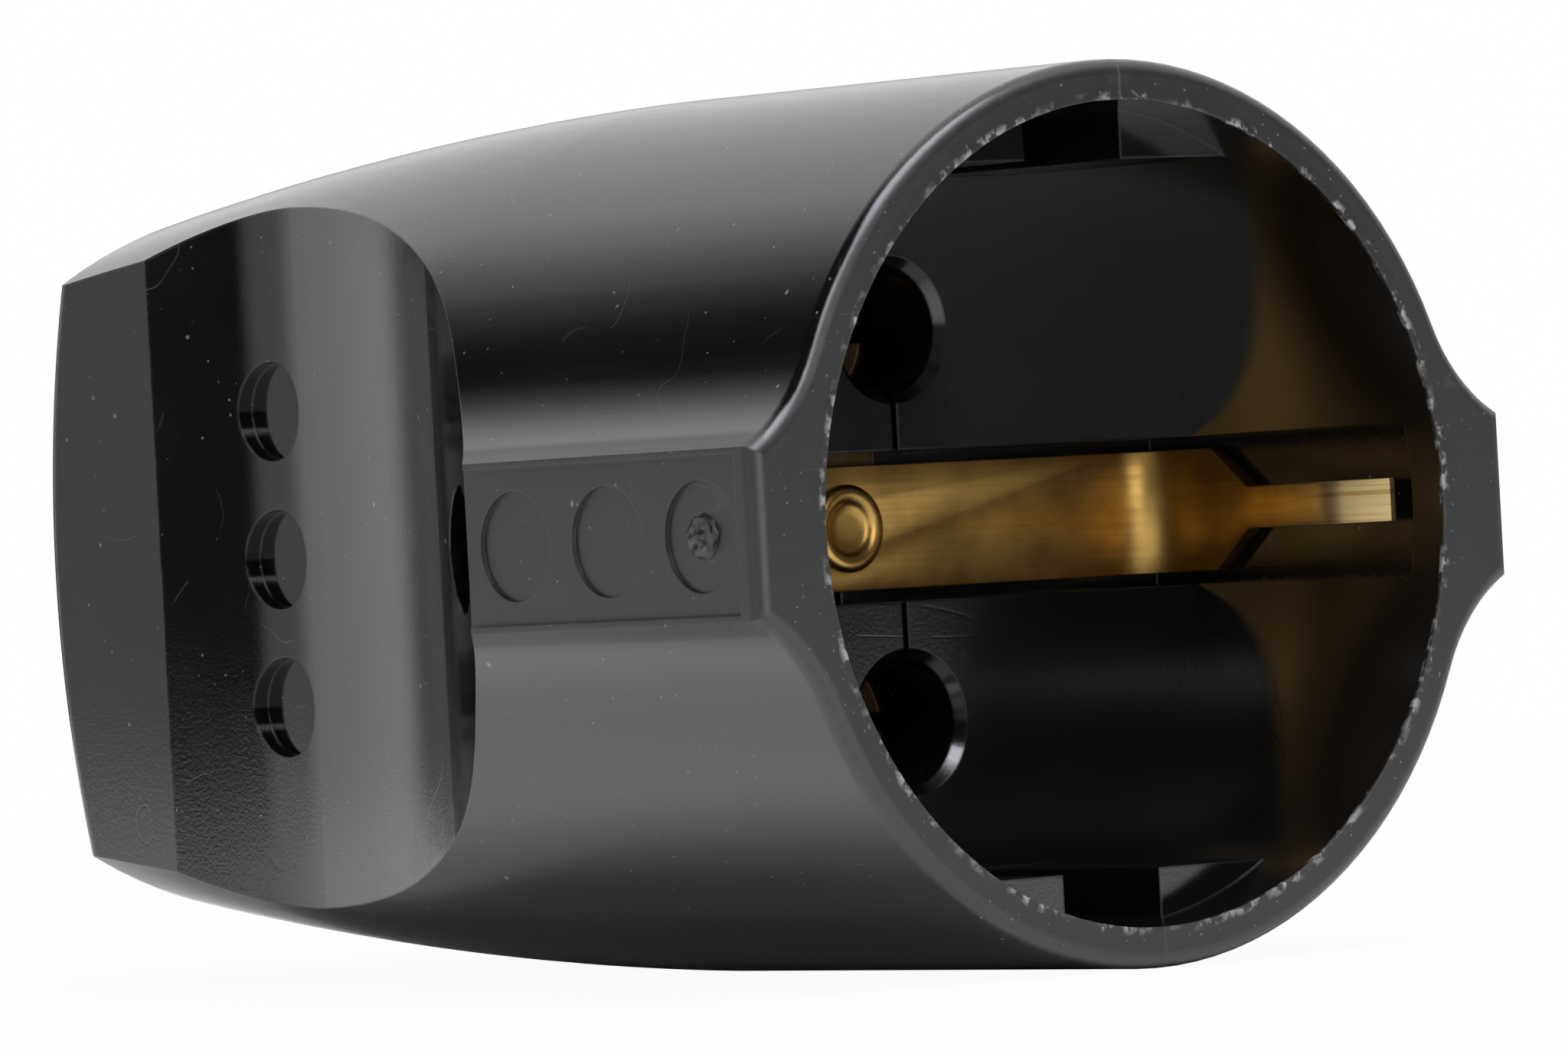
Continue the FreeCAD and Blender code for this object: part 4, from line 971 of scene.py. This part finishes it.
def thread(sizes, bottom, turns):
    """A closed thread ridge that winds round the Z axis."""
    clear_selection()
    depth = sizes.thread_depth
    root = sizes.screw_radius - depth * 2 / 3
    bpy.ops.mesh.primitive_circle_add(
        vertices=3,
        radius=depth * 0.66,
        location=(root, 0, bottom),
        rotation=(math.radians(90.0), 0, math.radians(180.0)),
    )
    ridge = name_piece("thread_ridge")
    bpy.ops.object.transform_apply(location=True, rotation=True, scale=True)
    edit_all()
    bpy.ops.transform.rotate(value=math.radians(-90.0), orient_axis="Y", center_override=(root, 0, bottom))
    bpy.ops.object.mode_set(mode="OBJECT")
    wind = ridge.modifiers.new("wind", "SCREW")
    wind.axis = "Z"
    wind.screw_offset = sizes.thread_pitch
    wind.iterations = turns
    wind.steps = THREAD_STEPS
    wind.render_steps = THREAD_STEPS
    bpy.ops.object.modifier_apply(modifier="wind")
    edit_all()
    bpy.ops.mesh.fill_holes(sides=3)
    bpy.ops.object.mode_set(mode="OBJECT")
    close_up(ridge)
    return ridge


def slotted_screw(name, sizes, reach, threaded):
    """A slotted screw with a cheese head, its head's underside at the origin and its head up."""
    head = sizes.screw_head_radius
    tall = sizes.screw_head_height
    core = sizes.screw_radius - sizes.thread_depth
    plain = -reach + threaded
    low_crown, middle_crown, high_crown = HEAD_CROWN
    stations = [
        (core * 0.72, -reach),
        (core, -reach + SCREW_TIP),
        (core, plain),
        (sizes.screw_radius * 0.98, plain + SCREW_RUNOUT),
        (sizes.screw_radius * 0.98, 0.0),
        (head * 0.965, 0.0),
        (head, HEAD_FOOT),
        (head, tall - low_crown),
        (head * 0.975, tall - middle_crown),
        (head * 0.91, tall - high_crown),
        (head * 0.82, tall),
    ]
    screw = turned(name, stations, sizes.turned_sides)
    clear_selection()
    slot_middle = tall - sizes.slot_depth / 2 + SLOT_OVERCUT / 2
    bpy.ops.mesh.primitive_cube_add(size=1.0, location=(0, 0, slot_middle))
    blade = name_piece("driver_slot")
    blade.scale = (head * 3, sizes.slot_width, sizes.slot_depth + SLOT_OVERCUT)
    bpy.ops.object.transform_apply(location=True, rotation=True, scale=True)
    apply_boolean(screw, blade, "DIFFERENCE")
    turns = max(1, int((threaded - THREAD_MARGIN) / sizes.thread_pitch))
    return join_into(screw, [thread(sizes, -reach + SCREW_TIP, turns)])


class SOCKET_OT_slotted_screws(bpy.types.Operator):
    """Model the terminal, clamp and shell screws with slots and threads"""

    bl_idname = "socket.slotted_screws"
    bl_label = "Slotted screws"

    def execute(self, context):
        sizes = context.scene.socket_sizes
        head = sizes.screw_head_radius
        boxes = {node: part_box(node) for node in ("terminal_screws", "cord_clamp_screws", "shell_screw")}
        pin_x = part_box("line_contact")[0].x + TERMINAL_INSET
        earth_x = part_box("earth_terminal")[0].x + TERMINAL_INSET
        earth_z = node_middle("terminal_screws").z + EARTH_RAISE
        clamp_x = node_middle("cord_clamp_screws").x
        clamp_low, clamp_high = boxes["cord_clamp_screws"]
        shell = node_middle("shell_screw")
        rows = [
            ("line_terminal_screw", "terminal_screws", pin_x, node_middle("line_contact").z, 20.0),
            ("neutral_terminal_screw", "terminal_screws", pin_x, node_middle("neutral_contact").z, 75.0),
            ("earth_terminal_screw", "terminal_screws", earth_x, earth_z, 130.0),
            ("upper_clamp_screw", "cord_clamp_screws", clamp_x, clamp_high.z - head, 50.0),
            ("lower_clamp_screw", "cord_clamp_screws", clamp_x, clamp_low.z + head, 100.0),
            ("long_shell_screw", "shell_screw", shell.x, shell.z, 64.0),
        ]
        for name, node, along, height, slot_turn in rows:
            low, high = boxes[node]
            seat = low.y + sizes.screw_head_height
            reach = high.y - seat
            threaded = reach - PLAIN_LENGTH[node] if node in PLAIN_LENGTH else SHELL_THREAD
            screw = slotted_screw(name, sizes, reach, threaded)
            settle(screw, (0.0, 0.0, math.radians(slot_turn)), (0.0, 0.0, 0.0))
            settle(screw, FACE_FRONT, (along, seat, height))
            fix(screw, "plated_steel", "steel", node)
        return {"FINISHED"}


class SOCKET_OT_hex_nut(bpy.types.Operator):
    """Model the chamfered nut of the shell screw"""

    bl_idname = "socket.hex_nut"
    bl_label = "Hexagon nut"

    def execute(self, context):
        sizes = context.scene.socket_sizes
        corner = sizes.nut_width / math.sqrt(3.0)
        tall = sizes.nut_height
        flat = sizes.nut_width / 2
        nut = turned("hex_nut", [(corner, 0.0), (corner, tall)], NUT_SIDES)
        blank = [
            (flat * 0.96, 0.0),
            (corner * 1.01, NUT_CHAMFER),
            (corner * 1.01, tall - NUT_CHAMFER),
            (flat * 0.96, tall),
        ]
        apply_boolean(nut, turned("nut_blank", blank, sizes.turned_sides), "INTERSECT")
        bore = [
            (sizes.screw_radius * 1.25, -BORE_OVERCUT),
            (sizes.screw_radius * 1.01, BORE_CHAMFER),
            (sizes.screw_radius * 1.01, tall - BORE_CHAMFER),
            (sizes.screw_radius * 1.25, tall + BORE_OVERCUT),
        ]
        apply_boolean(nut, turned("nut_bore", bore, sizes.turned_sides), "DIFFERENCE")
        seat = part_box("shell_nut")[0].y
        middle = node_middle("shell_nut")
        settle(nut, (0.0, 0.0, math.pi / NUT_SIDES), (0.0, 0.0, 0.0))
        settle(nut, FACE_BACK, (middle.x, seat, middle.z))
        fix(nut, "plated_steel", "steel", "shell_nut")
        return {"FINISHED"}


class SOCKET_OT_cord_clamp(bpy.types.Operator):
    """Dress the cord clamp as plated steel"""

    bl_idname = "socket.cord_clamp"
    bl_label = "Cord clamp"

    def execute(self, context):
        dress_nodes("plated_steel", "cord_clamp")
        return {"FINISHED"}


def stage_material(piece):
    """A material without a shader, named for a piece of the stage, and its nodes."""
    material = bpy.data.materials.new(piece.name)
    material.use_nodes = True
    material.node_tree.nodes.remove(material.node_tree.nodes["Principled BSDF"])
    piece.data.materials.append(material)
    return material.node_tree


def mix_surface(tree, factor, first, second):
    """Show one shader where the factor is 0 and another where it is 1."""
    mix = add_node(tree, "ShaderNodeMixShader")
    tree.links.new(factor, mix.inputs[0])
    wire(
        tree,
        (first, 0, mix, 1),
        (second, 0, mix, 2),
        (mix, "Shader", tree.nodes["Material Output"], "Surface"),
    )


def studio_floor(colours):
    """A floor that is white to the camera, with a painted pool of light beside the socket that only
    reflections show, and shaded paper elsewhere.
    """
    clear_selection()
    bpy.ops.mesh.primitive_plane_add(size=FLOOR_SIZE, location=(0, 0, 0))
    floor = name_piece("studio_floor")
    bpy.ops.object.transform_apply(location=True, rotation=True, scale=True)
    tree = stage_material(floor)
    paper = add_node(tree, "ShaderNodeBsdfDiffuse", [("Color", colour(colours.floor))])
    white = add_node(tree, "ShaderNodeEmission", [("Strength", 1.0)])
    ray = add_node(tree, "ShaderNodeLightPath")
    direct = largest(tree, ray.outputs["Is Camera Ray"], ray.outputs["Is Transmission Ray"])
    place = add_node(tree, "ShaderNodeTexCoord")
    parts = add_node(tree, "ShaderNodeSeparateXYZ")
    wire(tree, (place, "Object", parts, "Vector"))
    beside = combine(tree, "ABSOLUTE", parts.outputs["Y"], 0.0)
    # Glossy rays see a painted pool of light beside the socket and behind the mouth, and the shaded paper
    # elsewhere
    painted_glow_pool = rising(tree, beside, *SHADOW_EDGE)
    behind_mouth = rising(tree, parts.outputs["X"], *MOUTH_SHADE)
    mirrored = product(tree, ray.outputs["Is Glossy Ray"], painted_glow_pool, behind_mouth)
    glow = product(tree, largest(tree, direct, mirrored), FLOOR_GLOW)
    mix_surface(tree, glow, paper, white)


def studio_world():
    """Plain white all round, to the camera and to what the socket mirrors."""
    world = bpy.data.worlds.new("studio_white")
    world.use_nodes = True
    bpy.context.scene.world = world
    background = world.node_tree.nodes["Background"]
    background.inputs["Color"].default_value = (1.0, 1.0, 1.0, 1.0)
    background.inputs["Strength"].default_value = 1.0


def studio_screens():
    """A dome of dark screens with a low window on the left, a small one in front and a wide one behind."""
    clear_selection()
    bpy.ops.mesh.primitive_uv_sphere_add(segments=64, ring_count=32, radius=SCREEN_RADIUS)
    dome = name_piece("studio_screens")
    dome.visible_camera = False
    tree = stage_material(dome)
    place = add_node(tree, "ShaderNodeTexCoord")
    direction = add_node(tree, "ShaderNodeVectorMath", operation="NORMALIZE")
    parts = add_node(tree, "ShaderNodeSeparateXYZ")
    wire(tree, (place, "Object", direction, 0), (direction, "Vector", parts, "Vector"))
    across, back, up = parts.outputs["X"], parts.outputs["Y"], parts.outputs["Z"]
    low_part = product(tree, rising(tree, across, *LEFT_END), LOW_WINDOW_RISE)
    low_part = total(tree, low_part, LOW_WINDOW)
    left_window = product(
        tree,
        largest(tree, rising(tree, up, *LEFT_SILL), low_part),
        rising(tree, up, *LEFT_LINTEL),
        rising(tree, across, *LEFT_SIDE),
        rising(tree, back, *LEFT_BACK),
    )
    back_window = product(
        tree,
        rising(tree, back, *BACK_FRONT),
        rising(tree, up, *BACK_SILL),
        rising(tree, across, *BACK_SIDE),
    )
    front_window = product(
        tree,
        rising(tree, back, *FRONT_SIDE),
        rising(tree, up, *FRONT_SILL),
        rising(tree, up, *FRONT_LINTEL),
    )
    openings = largest(tree, left_window, back_window, front_window)
    screen = add_node(tree, "ShaderNodeBsdfDiffuse", [("Color", SCREEN_TONE)])
    window = add_node(tree, "ShaderNodeBsdfTransparent")
    mix_surface(tree, openings, screen, window)


def soft_lamp(name, place, wide, tall, power, tint):
    """One soft lamp that looks at the middle of the socket."""
    clear_selection()
    bpy.ops.object.light_add(type="AREA", location=place)
    lamp = bpy.context.object
    lamp.name = name
    lamp.data.shape = "RECTANGLE"
    lamp.data.size = wide
    lamp.data.size_y = tall
    lamp.data.energy = power
    lamp.data.color = tint
    aim = Vector((0.0, 0.0, AXIS_Z)) - Vector(place)
    lamp.rotation_euler = aim.to_track_quat("-Z", "Y").to_euler()


def photo_camera():
    """The camera, on a line to the middle of the mouth, framed on the whole socket."""
    azimuth = math.radians(48.179)
    roll = math.radians(3.10)
    distance = 0.5
    focal = 13863.5
    mouth_pixel = (1492.4, 669.6)
    mouth = Vector((RIM_X, 0.0, AXIS_Z))
    back = Vector((math.sin(azimuth), -math.cos(azimuth), 0.0))
    level = Vector((math.cos(azimuth), math.sin(azimuth), 0.0))
    upright = Vector((0.0, 0.0, 1.0))
    right = math.cos(roll) * level - math.sin(roll) * upright
    up = math.sin(roll) * level + math.cos(roll) * upright
    aim = -back * focal
    aim += right * (IMAGE_WIDTH / 2 - mouth_pixel[0])
    aim -= up * (IMAGE_HEIGHT / 2 - mouth_pixel[1])
    aim.normalize()
    side = aim.cross(up).normalized()
    top = side.cross(aim)
    clear_selection()
    bpy.ops.object.camera_add()
    camera = bpy.context.object
    camera.name = "photo_camera"
    camera.data.sensor_width = SENSOR_WIDTH
    camera.data.lens = focal / IMAGE_WIDTH * SENSOR_WIDTH
    turn = Matrix((side, top, -aim)).transposed().to_4x4()
    camera.matrix_world = Matrix.Translation(mouth + back * distance) @ turn
    bpy.context.scene.camera = camera


class SOCKET_OT_studio(bpy.types.Operator):
    """Set up the floor, the white surround, the screens, the lamps and the camera"""

    bl_idname = "socket.studio"
    bl_label = "Studio"

    def execute(self, context):
        studio_floor(context.scene.socket_colours)
        studio_world()
        studio_screens()
        soft_lamp("front_lamp", (0.40, -0.08, 0.91), wide=0.65, tall=0.65, power=5.6, tint=COOL_WHITE)
        soft_lamp("edge_lamp", (0.585, -0.50, 0.64), wide=0.26, tall=0.30, power=1.5, tint=COOL_WHITE)
        soft_lamp("low_lamp", (0.97, -0.12, 0.20), wide=0.7, tall=0.5, power=1.9, tint=WARM_WHITE)
        photo_camera()
        context.scene.view_settings.view_transform = "Standard"
        return {"FINISHED"}


STEPS = (
    SOCKET_OT_half_shells,
    SOCKET_OT_moulding_stub,
    SOCKET_OT_earth_strip,
    SOCKET_OT_earth_rivet,
    SOCKET_OT_pin_contacts,
    SOCKET_OT_slotted_screws,
    SOCKET_OT_hex_nut,
    SOCKET_OT_cord_clamp,
    SOCKET_OT_studio,
)


class SOCKET_PT_pieces(bpy.types.Panel):
    """Lists the socket's pieces, sizes and colours"""

    bl_idname = "SOCKET_PT_pieces"
    bl_label = "Inline socket connector"
    bl_space_type = "VIEW_3D"
    bl_region_type = "UI"
    bl_category = "Socket"

    def draw(self, context):
        layout = self.layout
        for step in STEPS:
            layout.operator(step.bl_idname)
        for group in (context.scene.socket_sizes, context.scene.socket_colours):
            box = layout.box()
            for name in group.bl_rna.properties.keys():
                if name not in {"rna_type", "name"}:
                    box.prop(group, name)


CLASSES = (SocketSizes, SocketColours, *STEPS, SOCKET_PT_pieces)


def register():
    """Register the classes and hang the properties on the scene."""
    for each in CLASSES:
        bpy.utils.register_class(each)
    bpy.types.Scene.socket_sizes = PointerProperty(type=SocketSizes)
    bpy.types.Scene.socket_colours = PointerProperty(type=SocketColours)


def unregister():
    """Take the properties and the classes away again."""
    del bpy.types.Scene.socket_colours
    del bpy.types.Scene.socket_sizes
    for each in reversed(CLASSES):
        bpy.utils.unregister_class(each)


def main():
    """Dress the socket and set up the studio."""
    register()
    bpy.ops.socket.half_shells()
    bpy.ops.socket.moulding_stub()
    bpy.ops.socket.earth_strip()
    bpy.ops.socket.earth_rivet()
    bpy.ops.socket.pin_contacts()
    bpy.ops.socket.slotted_screws()
    bpy.ops.socket.hex_nut()
    bpy.ops.socket.cord_clamp()
    bpy.ops.socket.studio()


if __name__ == "__main__":
    main()
